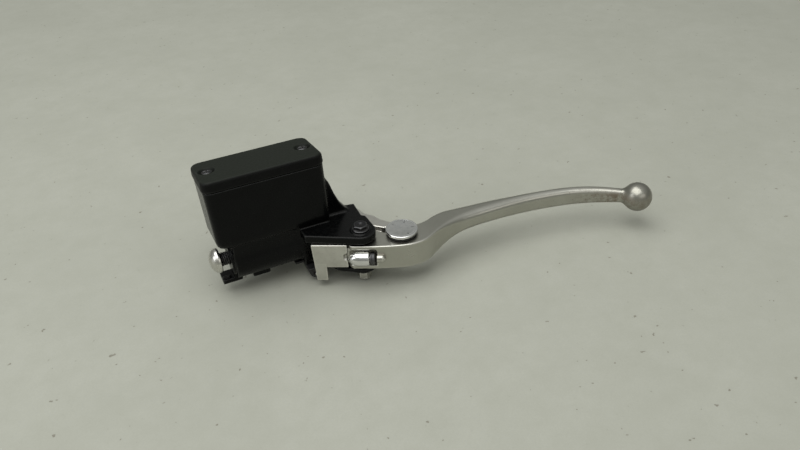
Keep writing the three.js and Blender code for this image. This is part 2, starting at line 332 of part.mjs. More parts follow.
// ---- removable half of the clamp ----
piece('clamp_cap', cut(
  plateX([[64.6, -23.5], [64.6, 23.5], [73, 23.5], [73, 14.5], ...arc(BAR_Y, 0, 17.2, 57, -57, 14), [73, -14.5], [73, -23.5]].reverse(), BAR_X - CLAMP_W / 2, BAR_X + CLAMP_W / 2),
  rod(CLAMP_BORE_R, [BAR_X - 20, BAR_Y, 0], [BAR_X + 20, BAR_Y, 0], 32),
  ...[-1, 1].map((s) => rod(3.4, [BAR_X, 62, s * CLAMP_BOLT_Z], [BAR_X, 76, s * CLAMP_BOLT_Z], 20)),
  ...[-1, 1].map((s) => rod(7.2, [BAR_X, 73, s * (CLAMP_BOLT_Z + 1)], [BAR_X, 84, s * (CLAMP_BOLT_Z + 1)], 20))), BLACK_CAST);
for (const [name, s] of [['upper', 1], ['lower', -1]]) {
  const at = [BAR_X, 0, s * CLAMP_BOLT_Z];
  piece(`clamp_washer_${name}`, turned([[73.3, 3.3], [73.3, 5.7], [74.5, 5.7], [74.5, 3.3], [73.3, 3.3]], at, [0, 1, 0], 16), STEEL);
  piece(`clamp_bolt_${name}`, cut(add(
    turned([[54.9, 0], [54.9, 2.4], [55.5, 2.95], [75.2, 2.95], [75.2, 0]], at, [0, 1, 0], 16),
    turned([[74.8, 0], [74.8, 5.2], [80.2, 5.2], [80.8, 4.6], [80.8, 0]], at, [0, 1, 0], 20)),
    plateY(hexagon(5, 0).map(([x, z]) => [x + BAR_X, z + at[2]]), 77.6, 82)), BLACK_STEEL);
}

// ---- put the origin on the handlebar's axis ----
assembly.position.set(-BAR_X, -BAR_Y, 0);
const part = new THREE.Group();
part.add(assembly);
part.updateMatrixWorld(true);
export default part;
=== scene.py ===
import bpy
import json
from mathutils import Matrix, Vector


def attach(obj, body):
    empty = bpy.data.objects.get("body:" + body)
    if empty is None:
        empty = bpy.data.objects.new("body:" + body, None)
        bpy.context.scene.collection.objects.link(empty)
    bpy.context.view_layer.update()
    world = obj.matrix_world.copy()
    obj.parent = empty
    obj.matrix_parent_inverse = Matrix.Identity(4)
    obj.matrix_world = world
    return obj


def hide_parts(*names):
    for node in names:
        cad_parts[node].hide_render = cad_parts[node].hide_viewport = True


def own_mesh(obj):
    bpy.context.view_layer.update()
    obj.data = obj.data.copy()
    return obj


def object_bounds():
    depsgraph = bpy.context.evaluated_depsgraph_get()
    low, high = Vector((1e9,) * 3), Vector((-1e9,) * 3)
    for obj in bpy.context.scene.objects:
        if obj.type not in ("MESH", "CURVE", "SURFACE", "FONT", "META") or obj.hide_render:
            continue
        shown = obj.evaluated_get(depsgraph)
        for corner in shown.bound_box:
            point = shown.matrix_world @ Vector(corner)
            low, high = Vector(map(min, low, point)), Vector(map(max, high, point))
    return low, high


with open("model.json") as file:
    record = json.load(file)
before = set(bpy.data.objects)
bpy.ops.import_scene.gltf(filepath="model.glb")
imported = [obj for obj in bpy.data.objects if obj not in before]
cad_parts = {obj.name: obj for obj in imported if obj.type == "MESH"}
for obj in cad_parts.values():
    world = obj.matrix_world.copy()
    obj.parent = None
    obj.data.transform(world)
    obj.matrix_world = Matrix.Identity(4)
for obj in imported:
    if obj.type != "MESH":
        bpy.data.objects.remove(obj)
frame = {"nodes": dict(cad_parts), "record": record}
# Motorcycle brake master cylinder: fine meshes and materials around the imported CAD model.
# Shapes are worked out in millimetres with the origin on the lever pivot's axis, then put in the frame in metres.
import bpy, json, math
import numpy as np
from mathutils import Matrix, Vector

CAD_BOX = [list(v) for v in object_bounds()]
OFF = np.array([44.0, -64.0, 0.0])
RNG = np.random.default_rng(7)
f32 = np.float32


# ------------------------------------------------------------------ distance fields
def smin(a, b, k=0.0):
    if k <= 0:
        return np.minimum(a, b)
    h = np.maximum(k - np.abs(a - b), 0) / k
    return np.minimum(a, b) - h * h * k * 0.25


def smax(a, b, k=0.0):
    return -smin(-a, -b, k)


def both(d1, d2, r):
    """two crossing walls, their edge rounded to r"""
    a, b = d1 + r, d2 + r
    return np.minimum(np.maximum(a, b), 0) + np.hypot(np.maximum(a, 0), np.maximum(b, 0)) - r


def box(lo, hi, r=0.4):
    lo, hi = np.array(lo, f32), np.array(hi, f32)
    c, e = (lo + hi) / 2, (hi - lo) / 2 - r

    def f(x, y, z):
        a, b, d = np.abs(x - c[0]) - e[0], np.abs(y - c[1]) - e[1], np.abs(z - c[2]) - e[2]
        return (np.sqrt(np.maximum(a, 0) ** 2 + np.maximum(b, 0) ** 2 + np.maximum(d, 0) ** 2)
                + np.minimum(np.maximum(a, np.maximum(b, d)), 0) - r)
    return f


def rod(R, a, b, r=0.3, R2=None):
    a, b = np.array(a, float), np.array(b, float)
    L = float(np.linalg.norm(b - a))
    u = (b - a) / L
    R2 = R if R2 is None else R2

    def f(x, y, z):
        px, py, pz = x - a[0], y - a[1], z - a[2]
        t = px * u[0] + py * u[1] + pz * u[2]
        d = np.sqrt(np.maximum(px * px + py * py + pz * pz - t * t, 0))
        rad = R + (R2 - R) * np.clip(t / L, 0, 1)
        return both(d - rad, np.abs(t - L / 2) - L / 2, r)
    return f


class Outline:
    """signed distance to a closed outline, looked up from a fine grid"""

    def __init__(self, pts, s=0.22, pad=6.0):
        p = np.array(pts, float)
        self.s = s
        self.lo = p.min(0) - pad
        n = np.ceil((p.max(0) + pad - self.lo) / s).astype(int) + 2
        gx, gy = np.meshgrid(self.lo[0] + s * np.arange(n[0]), self.lo[1] + s * np.arange(n[1]), indexing="ij")
        d2 = np.full(gx.shape, 1e9)
        inside = np.zeros(gx.shape, bool)
        q = np.roll(p, -1, 0)
        for (ax, ay), (bx, by) in zip(p, q):
            ex, ey = bx - ax, by - ay
            L = ex * ex + ey * ey
            if L < 1e-12:
                continue
            wx, wy = gx - ax, gy - ay
            t = np.clip((wx * ex + wy * ey) / L, 0, 1)
            d2 = np.minimum(d2, (wx - t * ex) ** 2 + (wy - t * ey) ** 2)
            if abs(ey) > 1e-12:
                cross = (ay > gy) != (by > gy)
                inside ^= cross & (gx < ex * (gy - ay) / ey + ax)
        self.d = np.where(inside, -1, 1) * np.sqrt(d2)
        self.d = self.d.astype(f32)
        self.n = n

    def __call__(self, u, v):
        a, b = (u - self.lo[0]) / self.s, (v - self.lo[1]) / self.s
        ca, cb = np.clip(a, 0, self.n[0] - 1.001), np.clip(b, 0, self.n[1] - 1.001)
        i, j = ca.astype(np.int32), cb.astype(np.int32)
        fa, fb = ca - i, cb - j
        D = self.d
        v0 = D[i, j] * (1 - fa) + D[i + 1, j] * fa
        v1 = D[i, j + 1] * (1 - fa) + D[i + 1, j + 1] * fa
        return v0 * (1 - fb) + v1 * fb + np.hypot(a - ca, b - cb) * self.s


def slab_z(o, z0, z1, r=0.5):
    return lambda x, y, z: both(o(x, y), np.abs(z - (z0 + z1) / 2) - (z1 - z0) / 2, r)


def slab_y(o, y0, y1, r=0.5):
    return lambda x, y, z: both(o(x, z), np.abs(y - (y0 + y1) / 2) - (y1 - y0) / 2, r)


def slab_x(o, x0, x1, r=0.5):
    return lambda x, y, z: both(o(y, z), np.abs(x - (x0 + x1) / 2) - (x1 - x0) / 2, r)


def arc(cx, cy, r, a0, a1, n):
    t = np.radians(np.linspace(a0, a1, n + 1))
    return [(cx + r * math.cos(a), cy + r * math.sin(a)) for a in t]


def rounded(pts, r, n=5):
    """outline with its corners rounded; r is one radius or one per corner"""
    p = [np.array(q, float) for q in pts]
    out = []
    for i, c in enumerate(p):
        ri = r[i] if isinstance(r, (list, tuple)) else r
        a, b = p[i - 1] - c, p[(i + 1) % len(p)] - c
        la, lb = np.linalg.norm(a), np.linalg.norm(b)
        a, b = a / la, b / lb
        ang = math.acos(max(-1, min(1, float(a @ b))))
        if ri <= 0 or ang > 3.05:
            out.append(tuple(c))
            continue
        t = min(ri / math.tan(ang / 2), 0.45 * min(la, lb))
        s, e = c + a * t, c + b * t
        for k in range(n + 1):
            w = k / n
            out.append(tuple((1 - w) ** 2 * s + 2 * w * (1 - w) * c + w * w * e))
    return out


def spline(pts, n=6):
    """smooth open curve through points"""
    p = np.array(pts, float)
    q = np.vstack([2 * p[0] - p[1], p, 2 * p[-1] - p[-2]])
    out = []
    for i in range(1, len(q) - 2):
        for k in range(n):
            t = k / n
            out.append(0.5 * (2 * q[i] + (q[i + 1] - q[i - 1]) * t + (2 * q[i - 1] - 5 * q[i] + 4 * q[i + 1] - q[i + 2]) * t * t
                              + (3 * q[i] - q[i - 1] - 3 * q[i + 1] + q[i + 2]) * t ** 3))
    out.append(p[-1])
    return [tuple(v) for v in out]


def skin(f, lo, hi, h):
    """closed mesh of f = 0, one vertex in each cell that the surface crosses"""
    B = 6
    lo = np.array(lo, float) - 2.5 * h + 0.013
    hi = np.array(hi, float) + 2.5 * h
    nb = -(-(np.ceil((hi - lo) / h).astype(int) + 1) // B)
    n = nb * B
    mid = [lo[a] + h * (np.arange(nb[a]) * B + (B - 1) / 2) for a in range(3)]
    X, Y, Z = np.meshgrid(*mid, indexing="ij")
    d = f(X.ravel().astype(f32), Y.ravel().astype(f32), Z.ravel().astype(f32)).reshape(nb)
    active = np.abs(d) < 0.5 * B * h * 1.7321 * 1.3 + 2.2 * h
    F = np.repeat(np.repeat(np.repeat(np.where(d < 0, -9, 9).astype(f32), B, 0), B, 1), B, 2)
    ids = np.argwhere(active)
    off = np.stack(np.meshgrid(*[np.arange(B)] * 3, indexing="ij"), -1).reshape(-1, 3)
    for s in range(0, len(ids), 3000):
        ijk = (ids[s:s + 3000, None, :] * B + off[None]).reshape(-1, 3)
        p = (lo + ijk * h).astype(f32)
        F[ijk[:, 0], ijk[:, 1], ijk[:, 2]] = f(p[:, 0], p[:, 1], p[:, 2])
    S = F < 0
    cnt = np.zeros(n - 1, np.uint8)
    corner = [(a, b, c) for a in (0, 1) for b in (0, 1) for c in (0, 1)]
    for a, b, c in corner:
        cnt += S[a:n[0] - 1 + a, b:n[1] - 1 + b, c:n[2] - 1 + c]
    I, J, K = np.nonzero((cnt > 0) & (cnt < 8))
    vals = {k: F[I + k[0], J + k[1], K + k[2]] for k in corner}
    acc, num = np.zeros((len(I), 3)), np.zeros(len(I))
    for a in corner:
        for ax in range(3):
            if a[ax]:
                continue
            b = tuple(1 if i == ax else a[i] for i in range(3))
            va, vb = vals[a], vals[b]
            m = (va < 0) != (vb < 0)
            t = np.where(m, va / np.where(m, va - vb, 1), 0)
            p = np.array(a, float)[None].repeat(len(I), 0)
            p[:, ax] += t
            acc += p * m[:, None]
            num += m
    V = lo + h * (np.stack([I, J, K], 1) + acc / num[:, None])
    lin = (I * (n[1] - 1) + J) * (n[2] - 1) + K
    quads = []
    for ax in range(3):
        o1, o2 = (ax + 1) % 3, (ax + 2) % 3
        A, Bn = [slice(None)] * 3, [slice(None)] * 3
        A[ax], Bn[ax] = slice(0, -1), slice(1, None)
        sa, sb = S[tuple(A)], S[tuple(Bn)]
        idx = np.stack(np.nonzero(sa != sb), 1)
        inside = sa[idx[:, 0], idx[:, 1], idx[:, 2]]
        cells = []
        for du, dv in ((-1, -1), (0, -1), (0, 0), (-1, 0)):
            c = idx.copy()
            c[:, o1] += du
            c[:, o2] += dv
            cells.append(np.searchsorted(lin, (c[:, 0] * (n[1] - 1) + c[:, 1]) * (n[2] - 1) + c[:, 2]))
        q = np.stack(cells, 1)
        q[~inside] = q[~inside][:, ::-1]
        quads.append(q)
    return V, np.vstack(quads)


# ------------------------------------------------------------------ objects
BODY_OF = {}
for _b, _ns in frame["record"]["behaviour"]["bodies"].items():
    for _n in _ns:
        BODY_OF[_n] = _b
SLOT_OF = {s["node"]: s["material_slot"] for s in frame["record"]["subparts"]}
MATS = {}


def marks(me, V, rounds=3):
    """edge and hollow: how convex and how concave the surface is, for wear, painted edge highlights and dirt"""
    ne = len(me.edges)
    e = np.zeros(ne * 2, np.int32)
    me.edges.foreach_get("vertices", e)
    e = e.reshape(-1, 2)
    N = np.zeros(len(V) * 3, f32)
    me.vertex_normals.foreach_get("vector", N)
    N = N.reshape(-1, 3)
    d = V[e[:, 1]] - V[e[:, 0]]
    L = np.linalg.norm(d, axis=1) + 1e-9
    c = np.einsum("ij,ij->i", N[e[:, 1]] - N[e[:, 0]], d) / (L * L)       # 1 / mm, positive where convex
    s, w = np.zeros(len(V)), np.zeros(len(V))
    for k in (0, 1):
        np.add.at(s, e[:, k], c)
        np.add.at(w, e[:, k], 1)
    s /= np.maximum(w, 1)
    for _ in range(rounds):
        t = np.zeros(len(V))
        np.add.at(t, e[:, 0], s[e[:, 1]])
        np.add.at(t, e[:, 1], s[e[:, 0]])
        s = 0.4 * s + 0.6 * t / np.maximum(w, 1)
    for name, v in (("edge", np.clip(s / 0.9, 0, 1)), ("hollow", np.clip(-s / 0.5, 0, 1))):
        a = me.attributes.get(name) or me.attributes.new(name, "FLOAT", "POINT")
        a.data.foreach_set("value", v.astype(f32))


def solid(name, V, faces, node=None, body=None, slot=None, smooth=True, marked=True, flat_angle=None):
    """a mesh from points in millimetres about the pivot, riding on its body"""
    V = np.asarray(V, float)
    me = bpy.data.meshes.new(name)
    me.vertices.add(len(V))
    me.vertices.foreach_set("co", ((V + OFF) / 1000).astype(f32).ravel())
    if isinstance(faces, np.ndarray):
        starts = np.arange(0, faces.size, faces.shape[1])
        flat = faces.ravel()
    else:
        sizes = np.array([len(q) for q in faces])
        starts = np.concatenate([[0], np.cumsum(sizes)[:-1]])
        flat = np.concatenate([np.asarray(q) for q in faces])
    me.loops.add(len(flat))
    me.loops.foreach_set("vertex_index", flat.astype(np.int32))
    me.polygons.add(len(starts))
    me.polygons.foreach_set("loop_start", starts.astype(np.int32))
    me.update(calc_edges=True)
    me.validate()
    me.polygons.foreach_set("use_smooth", np.full(len(me.polygons), smooth))
    if marked:
        marks(me, V)
    ob = bpy.data.objects.new(name, me)
    bpy.context.scene.collection.objects.link(ob)
    node = name if node is None and name in BODY_OF else node
    if flat_angle:
        with bpy.context.temp_override(object=ob, active_object=ob, selected_objects=[ob], selected_editable_objects=[ob]):
            bpy.ops.object.shade_smooth_by_angle(angle=math.radians(flat_angle))
    ob.data.materials.append(MATS[slot or SLOT_OF[node]])
    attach(ob, body or BODY_OF[node])
    if node in BODY_OF:
        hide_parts(node)
    (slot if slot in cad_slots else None) or SLOT_OF.get(node) or "black_steel"
    return ob


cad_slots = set(m["slot"] for m in frame["record"]["materials"])


def frame_of(axis):
    z = Vector(axis).normalized()
    up = Vector((0, 0, 1)) if abs(z.z) < 0.9 else Vector((1, 0, 0))
    x = up.cross(z).normalized()
    return np.array([x, z.cross(x), z])


def lathe(profile, origin, axis, n=96, r=0.0):
    """profile of (along, radius) turned about an axis; first and last point close on it or on each other"""
    p = [tuple(map(float, q)) for q in profile]
    ring = abs(p[0][0] - p[-1][0]) < 1e-9 and abs(p[0][1] - p[-1][1]) < 1e-9
    if ring:
        p = p[:-1]
        if r:
            p = rounded(p, r, 4)
    elif r:
        keep = [0.0] + [r] * (len(p) - 2) + [0.0]
        p = rounded(p, keep, 4)
    # the outline must run so that faces look out
    area = sum(p[i][0] * p[(i + 1) % len(p)][1] - p[(i + 1) % len(p)][0] * p[i][1] for i in range(len(p)))
    if area > 0:
        p = p[::-1]
    x, y, z = frame_of(axis)
    o = np.array(origin, float)
    V, F, rows = [], [], []
    for a, rad in p:
        if rad < 1e-6:
            rows.append([len(V)])
            V.append(o + z * a)
        else:
            rows.append(list(range(len(V), len(V) + n)))
            for k in range(n):
                t = 2 * math.pi * k / n
                V.append(o + z * a + rad * (x * math.cos(t) + y * math.sin(t)))
    m = len(rows)
    for i in range(m if ring else m - 1):
        A, Bq = rows[i], rows[(i + 1) % m]
        for k in range(n):
            k2 = (k + 1) % n
            if len(A) == 1 and len(Bq) == 1:
                continue
            if len(A) == 1:
                F.append((A[0], Bq[k2], Bq[k]))
            elif len(Bq) == 1:
                F.append((A[k], A[k2], Bq[0]))
            else:
                F.append((A[k], A[k2], Bq[k2], Bq[k]))
    V = np.array(V)
    # outward check by signed volume
    vol = 0.0
    for q in F[:: max(1, len(F) // 4000)]:
        c = V[list(q)] - o
        for j in range(1, len(q) - 1):
            vol += float(np.dot(c[0], np.cross(c[j], c[j + 1])))
    if vol < 0:
        F = [tuple(reversed(q)) for q in F]
    return V, F


def coil(radius, wire, a0, a1, turns, origin, axis, ends=1.0, steps=40, sides=12):
    """spring with closed end turns"""
    x, y, z = frame_of(axis)
    o = np.array(origin, float)
    n = int(turns * steps)
    C = []
    for i in range(n + 1):
        t = i / n * turns
        # the end turns lie nearly flat
        w = (t - ends * 0.75 * min(1, t / ends)) if t < ends else t - ends * 0.75
        total = turns - 1.5 * ends
        if t > turns - ends:
            w = turns - 1.75 * ends + (t - (turns - ends)) * 0.25
        a = a0 + wire + (a1 - a0 - 2 * wire) * w / total
        ang = 2 * math.pi * t
        C.append(o + z * a + radius * (x * math.cos(ang) + y * math.sin(ang)))
    C = np.array(C)
    T = np.gradient(C, axis=0)
    T /= np.linalg.norm(T, axis=1)[:, None]
    V, F = [], []
    for c, t in zip(C, T):
        rd = c - o - z * float((c - o) @ z)
        rd /= np.linalg.norm(rd)
        bn = np.cross(t, rd)
        bn /= np.linalg.norm(bn)
        for k in range(sides):
            q = 2 * math.pi * k / sides
            V.append(c + wire * (rd * math.cos(q) + bn * math.sin(q)))
    for i in range(len(C) - 1):
        for k in range(sides):
            k2 = (k + 1) % sides
            F.append((i * sides + k, (i + 1) * sides + k, (i + 1) * sides + k2, i * sides + k2))
    F.append(tuple(range(sides)))
    L = (len(C) - 1) * sides
    F.append(tuple(reversed(range(L, L + sides))))
    V = np.array(V)
    # outward check on the first ring's side faces
    q = F[0]
    nrm = np.cross(V[q[1]] - V[q[0]], V[q[3]] - V[q[0]])
    if nrm @ (V[q[0]] - C[0]) < 0:
        F = [tuple(reversed(p)) for p in F]
    return V, F


def thread(f, a, u, r0, pitch, depth, t0, t1):
    """adds a screw thread to a shank field f, between t0 and t1 along u from a"""
    a, u = np.array(a, float), np.array(u, float)
    u = u / np.linalg.norm(u)
    X = frame_of(u)

    def g(x, y, z):
        px, py, pz = x - a[0], y - a[1], z - a[2]
        t = px * u[0] + py * u[1] + pz * u[2]
        cx = px * X[0][0] + py * X[0][1] + pz * X[0][2]
        cy = px * X[1][0] + py * X[1][1] + pz * X[1][2]
        ph = t / pitch - np.arctan2(cy, cx) / (2 * math.pi)
        tri = np.abs(ph - np.round(ph)) * 2          # 0 .. 1
        body = np.hypot(cx, cy) - (r0 - depth * tri)
        d = np.maximum(body * 0.75, np.abs(t - (t0 + t1) / 2) - (t1 - t0) / 2)
        return np.minimum(f(x, y, z), d)
    return g


# ------------------------------------------------------------------ materials
class Nodes:
    def __init__(self, name):
        self.m = bpy.data.materials.new(name)
        self.m.use_nodes = True
        self.t = self.m.node_tree
        self.t.nodes.clear()
        self.out = self.t.nodes.new("ShaderNodeOutputMaterial")
        self.b = self.t.nodes.new("ShaderNodeBsdfPrincipled")
        self.t.links.new(self.b.outputs[0], self.out.inputs[0])
        tc = self.t.nodes.new("ShaderNodeTexCoord")
        self.co = tc.outputs["Object"]

    def put(self, sock, v):
        if hasattr(v, "is_linked") or hasattr(v, "links"):
            self.t.links.new(v, sock)
        elif isinstance(v, (tuple, list)) and len(v) == 3 and sock.type == "RGBA":
            sock.default_value = (*v, 1)
        else:
            sock.default_value = v

    def set(self, **kw):
        for k, v in kw.items():
            self.put(self.b.inputs[k.replace("_", " ")], v)

    def mapping(self, scale=(1, 1, 1), rot=(0, 0, 0)):
        n = self.t.nodes.new("ShaderNodeMapping")
        n.inputs["Scale"].default_value = scale
        n.inputs["Rotation"].default_value = rot
        self.t.links.new(self.co, n.inputs[0])
        return n.outputs[0]

    def noise(self, scale, detail=3, rough=0.55, co=None, distort=0.0):
        n = self.t.nodes.new("ShaderNodeTexNoise")
        self.t.links.new(co or self.co, n.inputs["Vector"])
        n.inputs["Scale"].default_value = scale
        n.inputs["Detail"].default_value = detail
        n.inputs["Roughness"].default_value = rough
        n.inputs["Distortion"].default_value = distort
        return n.outputs[0]

    def voronoi(self, scale, feature="F1", co=None):
        n = self.t.nodes.new("ShaderNodeTexVoronoi")
        n.feature = feature
        self.t.links.new(co or self.co, n.inputs["Vector"])
        n.inputs["Scale"].default_value = scale
        return n.outputs["Distance"]

    def ramp(self, v, lo, hi, a=0.0, b=1.0):
        n = self.t.nodes.new("ShaderNodeMapRange")
        self.put(n.inputs[0], v)
        for i, q in enumerate((lo, hi, a, b)):
            n.inputs[1 + i].default_value = q
        return n.outputs[0]

    def math(self, op, a, b=0.0, clamp=False):
        n = self.t.nodes.new("ShaderNodeMath")
        n.operation = op
        n.use_clamp = clamp
        self.put(n.inputs[0], a)
        self.put(n.inputs[1], b)
        return n.outputs[0]

    def mix(self, fac, a, b):
        n = self.t.nodes.new("ShaderNodeMix")
        n.data_type = "RGBA"
        self.put(n.inputs[0], fac)
        self.put(n.inputs[6], a)
        self.put(n.inputs[7], b)
        return n.outputs[2]

    def mixf(self, fac, a, b):
        n = self.t.nodes.new("ShaderNodeMix")
        n.data_type = "FLOAT"
        self.put(n.inputs[0], fac)
        self.put(n.inputs[2], a)
        self.put(n.inputs[3], b)
        return n.outputs[0]

    def attr(self, name):
        n = self.t.nodes.new("ShaderNodeAttribute")
        n.attribute_name = name
        return n.outputs["Fac"]

    def facing_up(self):
        g = self.t.nodes.new("ShaderNodeNewGeometry")
        s = self.t.nodes.new("ShaderNodeSeparateXYZ")
        self.t.links.new(g.outputs["Normal"], s.inputs[0])
        return s.outputs[2]

    def axis(self, i):
        s = self.t.nodes.new("ShaderNodeSeparateXYZ")
        self.t.links.new(self.co, s.inputs[0])
        return s.outputs[i]

    def bump(self, *layers):
        """(height, distance in metres, strength)"""
        last = None
        for h, dist, strength in layers:
            n = self.t.nodes.new("ShaderNodeBump")
            n.inputs["Distance"].default_value = dist
            n.inputs["Strength"].default_value = strength
            self.t.links.new(h, n.inputs["Height"])
            if last is not None:
                self.t.links.new(last, n.inputs["Normal"])
            last = n.outputs[0]
        self.t.links.new(last, self.b.inputs["Normal"])


def scratches(n, scale, stretch, rot, lo, hi):
    """thin lines in one direction"""
    co = n.mapping(stretch, rot)
    return n.ramp(n.noise(scale, 2, 0.5, co), lo, hi)


def metal(name, base, dark, rough, spread=0.08, brush=None, grime=0.5, edge_highlight=0.25, grain=0.000012, dirt=(0.06, 0.045, 0.03), blotch=110):
    n = Nodes(name)
    big = n.noise(blotch, 4, 0.6)
    fine = n.noise(2600, 3, 0.6)
    col = n.mix(n.ramp(big, 0.35, 0.68), base, dark)
    hollow = n.attr("hollow")
    edge = n.attr("edge")
    lines = scratches(n, 60, (40, 6, 40), (0.3, 0.2, 0.5), 0.60, 0.66)
    # painted highlight: convex edges are lightened towards a pale copy of the base colour, by this weight
    col = n.mix(n.math("MULTIPLY", edge, edge_highlight), col, tuple(min(1, c * 1.5 + 0.05) for c in base))
    spots = n.math("MULTIPLY", n.ramp(n.noise(420, 5, 0.7), 0.56, 0.72), 0.35 * grime)
    g = n.math("ADD", n.math("MULTIPLY", hollow, n.ramp(n.noise(500, 4, 0.7), 0.3, 0.7, 0.5 * grime, 1.6 * grime)), spots, True)
    col = n.mix(g, col, dirt)
    n.set(Base_Color=col, Metallic=n.ramp(g, 0, 1, 1.0, 0.15))
    r = n.math("ADD", n.ramp(big, 0.3, 0.7, rough - spread, rough + spread), n.math("MULTIPLY", lines, 0.06))
    n.set(Roughness=n.mixf(g, r, 0.75))
    layers = [(fine, grain, 0.6), (lines, grain, 0.5)]
    if brush is not None:
        layers.append((n.noise(1.0, 2, 0.5, n.mapping(brush[0], brush[1])), grain * 1.4, brush[2]))
    n.bump(*layers)
    return n.m


def painted(name, base, faded, rough, coat, grain_scale, grain_depth, metal_show, dust, dust_amt, wear=0.6, spec=0.5, top=None):
    n = Nodes(name)
    big = n.noise(75, 5, 0.62)
    mid = n.noise(520, 4, 0.6)
    grain = n.noise(grain_scale, 2, 0.5)
    edge, hollow = n.attr("edge"), n.attr("hollow")
    col = n.mix(n.ramp(big, 0.35, 0.7), base, faded)
    if top is not None:      # upper face given a lighter, greenish dusty tone than the dark sides: painted light from above
        col = n.mix(n.ramp(n.facing_up(), 0.55, 0.93), col, n.mix(n.ramp(mid, 0.3, 0.7), top, tuple(c * 1.35 for c in top)))
    up = n.ramp(n.facing_up(), 0.2, 1.0)
    film = n.math("MULTIPLY", n.math("MULTIPLY", up, n.ramp(mid, 0.42, 0.78)), dust_amt)
    col = n.mix(n.math("ADD", film, n.math("MULTIPLY", hollow, dust_amt * 0.7), True), col, dust)
    chip = n.math("MULTIPLY", n.ramp(edge, 0.55, 0.95), n.ramp(n.noise(900, 4, 0.75), 0.60, 0.66), True)
    chip = n.math("MULTIPLY", chip, wear)
    # painted highlight: convex edges made lighter grey, apart from the worn chips
    col = n.mix(n.math("MULTIPLY", n.ramp(edge, 0.25, 0.9), 0.30), col, (0.075, 0.078, 0.075))
    col = n.mix(chip, col, metal_show)
    lines = scratches(n, 55, (30, 8, 30), (0.9, 0.1, 0.7), 0.635, 0.66)
    col = n.mix(n.math("MULTIPLY", lines, 0.12), col, dust)
    n.set(Base_Color=col, Metallic=n.math("MULTIPLY", chip, 0.9), Coat_Weight=coat, Specular_IOR_Level=spec)
    n.b.inputs["Coat Roughness"].default_value = 0.12
    n.set(Roughness=n.math("ADD", n.ramp(mid, 0.3, 0.7, rough - 0.06, rough + 0.08), n.math("MULTIPLY", film, 0.5)))
    n.bump((grain, grain_depth, 0.7), (n.noise(230, 3, 0.5), grain_depth * 2.2, 0.35), (lines, 0.00001, -0.4))
    return n.m


def plain(name, base, rough, grain_scale, grain_depth, metallic=0.0, tint=None, spread=0.08):
    n = Nodes(name)
    v = n.noise(160, 4, 0.6)
    g = n.noise(grain_scale, 3, 0.6)
    tint = tint or tuple(min(1, c * 1.8 + 0.01) for c in base)
    col = n.mix(n.ramp(v, 0.35, 0.75, 0, 0.7), base, tint)
    col = n.mix(n.math("MULTIPLY", n.attr("hollow"), 0.5), col, tuple(c * 0.6 + 0.01 for c in tint))
    n.set(Base_Color=col, Metallic=metallic, Roughness=n.ramp(v, 0.3, 0.7, rough - spread, rough + spread))
    n.bump((g, grain_depth, 0.8))
    return n.m


MATS["black_cast"] = painted("black_cast", (0.0010, 0.0011, 0.0013), (0.0020, 0.0022, 0.0024), 0.26, 0.03, 1500, 0.000012,
                             (0.24, 0.23, 0.20), (0.022, 0.021, 0.019), 0.08, wear=0.7, spec=0.13)
MATS["cap_paint"] = painted("cap_paint", (0.0012, 0.0013, 0.0014), (0.0026, 0.0028, 0.0026), 0.50, 0.0, 2400, 0.00002,
                            (0.06, 0.06, 0.05), (0.034, 0.035, 0.029), 0.16, wear=0.25, spec=0.14, top=(0.0078, 0.0100, 0.0072))
MATS["satin_aluminium"] = metal("satin_aluminium", (0.60, 0.59, 0.55), (0.50, 0.49, 0.45), 0.36, 0.05,
                                brush=((60, 900, 900), (0, 0, 0.05), 0.25), grime=0.30, edge_highlight=0.5)
MATS["polished_steel"] = metal("polished_steel", (0.74, 0.74, 0.73), (0.62, 0.63, 0.63), 0.16, 0.05, grime=0.35, edge_highlight=0.3, grain=0.000004, blotch=260)
MATS["bright_steel"] = metal("bright_steel", (0.60, 0.59, 0.56), (0.45, 0.44, 0.40), 0.27, 0.07, grime=0.5, edge_highlight=0.4, blotch=300)
MATS["black_steel"] = metal("black_steel", (0.045, 0.045, 0.048), (0.025, 0.025, 0.027), 0.33, 0.08, grime=0.3, edge_highlight=0.9, blotch=300, dirt=(0.03, 0.027, 0.022))
MATS["turned_aluminium"] = metal("turned_aluminium", (0.62, 0.62, 0.60), (0.52, 0.52, 0.50), 0.28, 0.05,
                                 brush=((2600, 20, 20), (0, 0, 0), 0.6), grime=0.2)
MATS["bronze"] = metal("bronze", (0.56, 0.38, 0.16), (0.36, 0.24, 0.11), 0.34, 0.08, grime=0.6, blotch=350)
MATS["rubber"] = plain("rubber", (0.012, 0.012, 0.012), 0.62, 1900, 0.00002, tint=(0.026, 0.025, 0.023))
MATS["black_plastic"] = plain("black_plastic", (0.012, 0.012, 0.013), 0.42, 1300, 0.00003, tint=(0.024, 0.024, 0.024))
MATS["mark_ink"] = plain("mark_ink", (0.05, 0.05, 0.05), 0.6, 1500, 0.00001)
_n = Nodes("clear_glass")
_n.set(Base_Color=_n.mix(_n.ramp(_n.noise(300, 4, 0.6), 0.4, 0.8, 0, 0.4), (0.80, 0.88, 0.84), (0.55, 0.55, 0.42)),
       Roughness=_n.ramp(_n.noise(500, 3, 0.6), 0.3, 0.7, 0.03, 0.14), Transmission_Weight=0.85, IOR=1.49)
_n.bump((_n.noise(900, 2, 0.5), 0.000004, 0.4))
MATS["clear_glass"] = _n.m
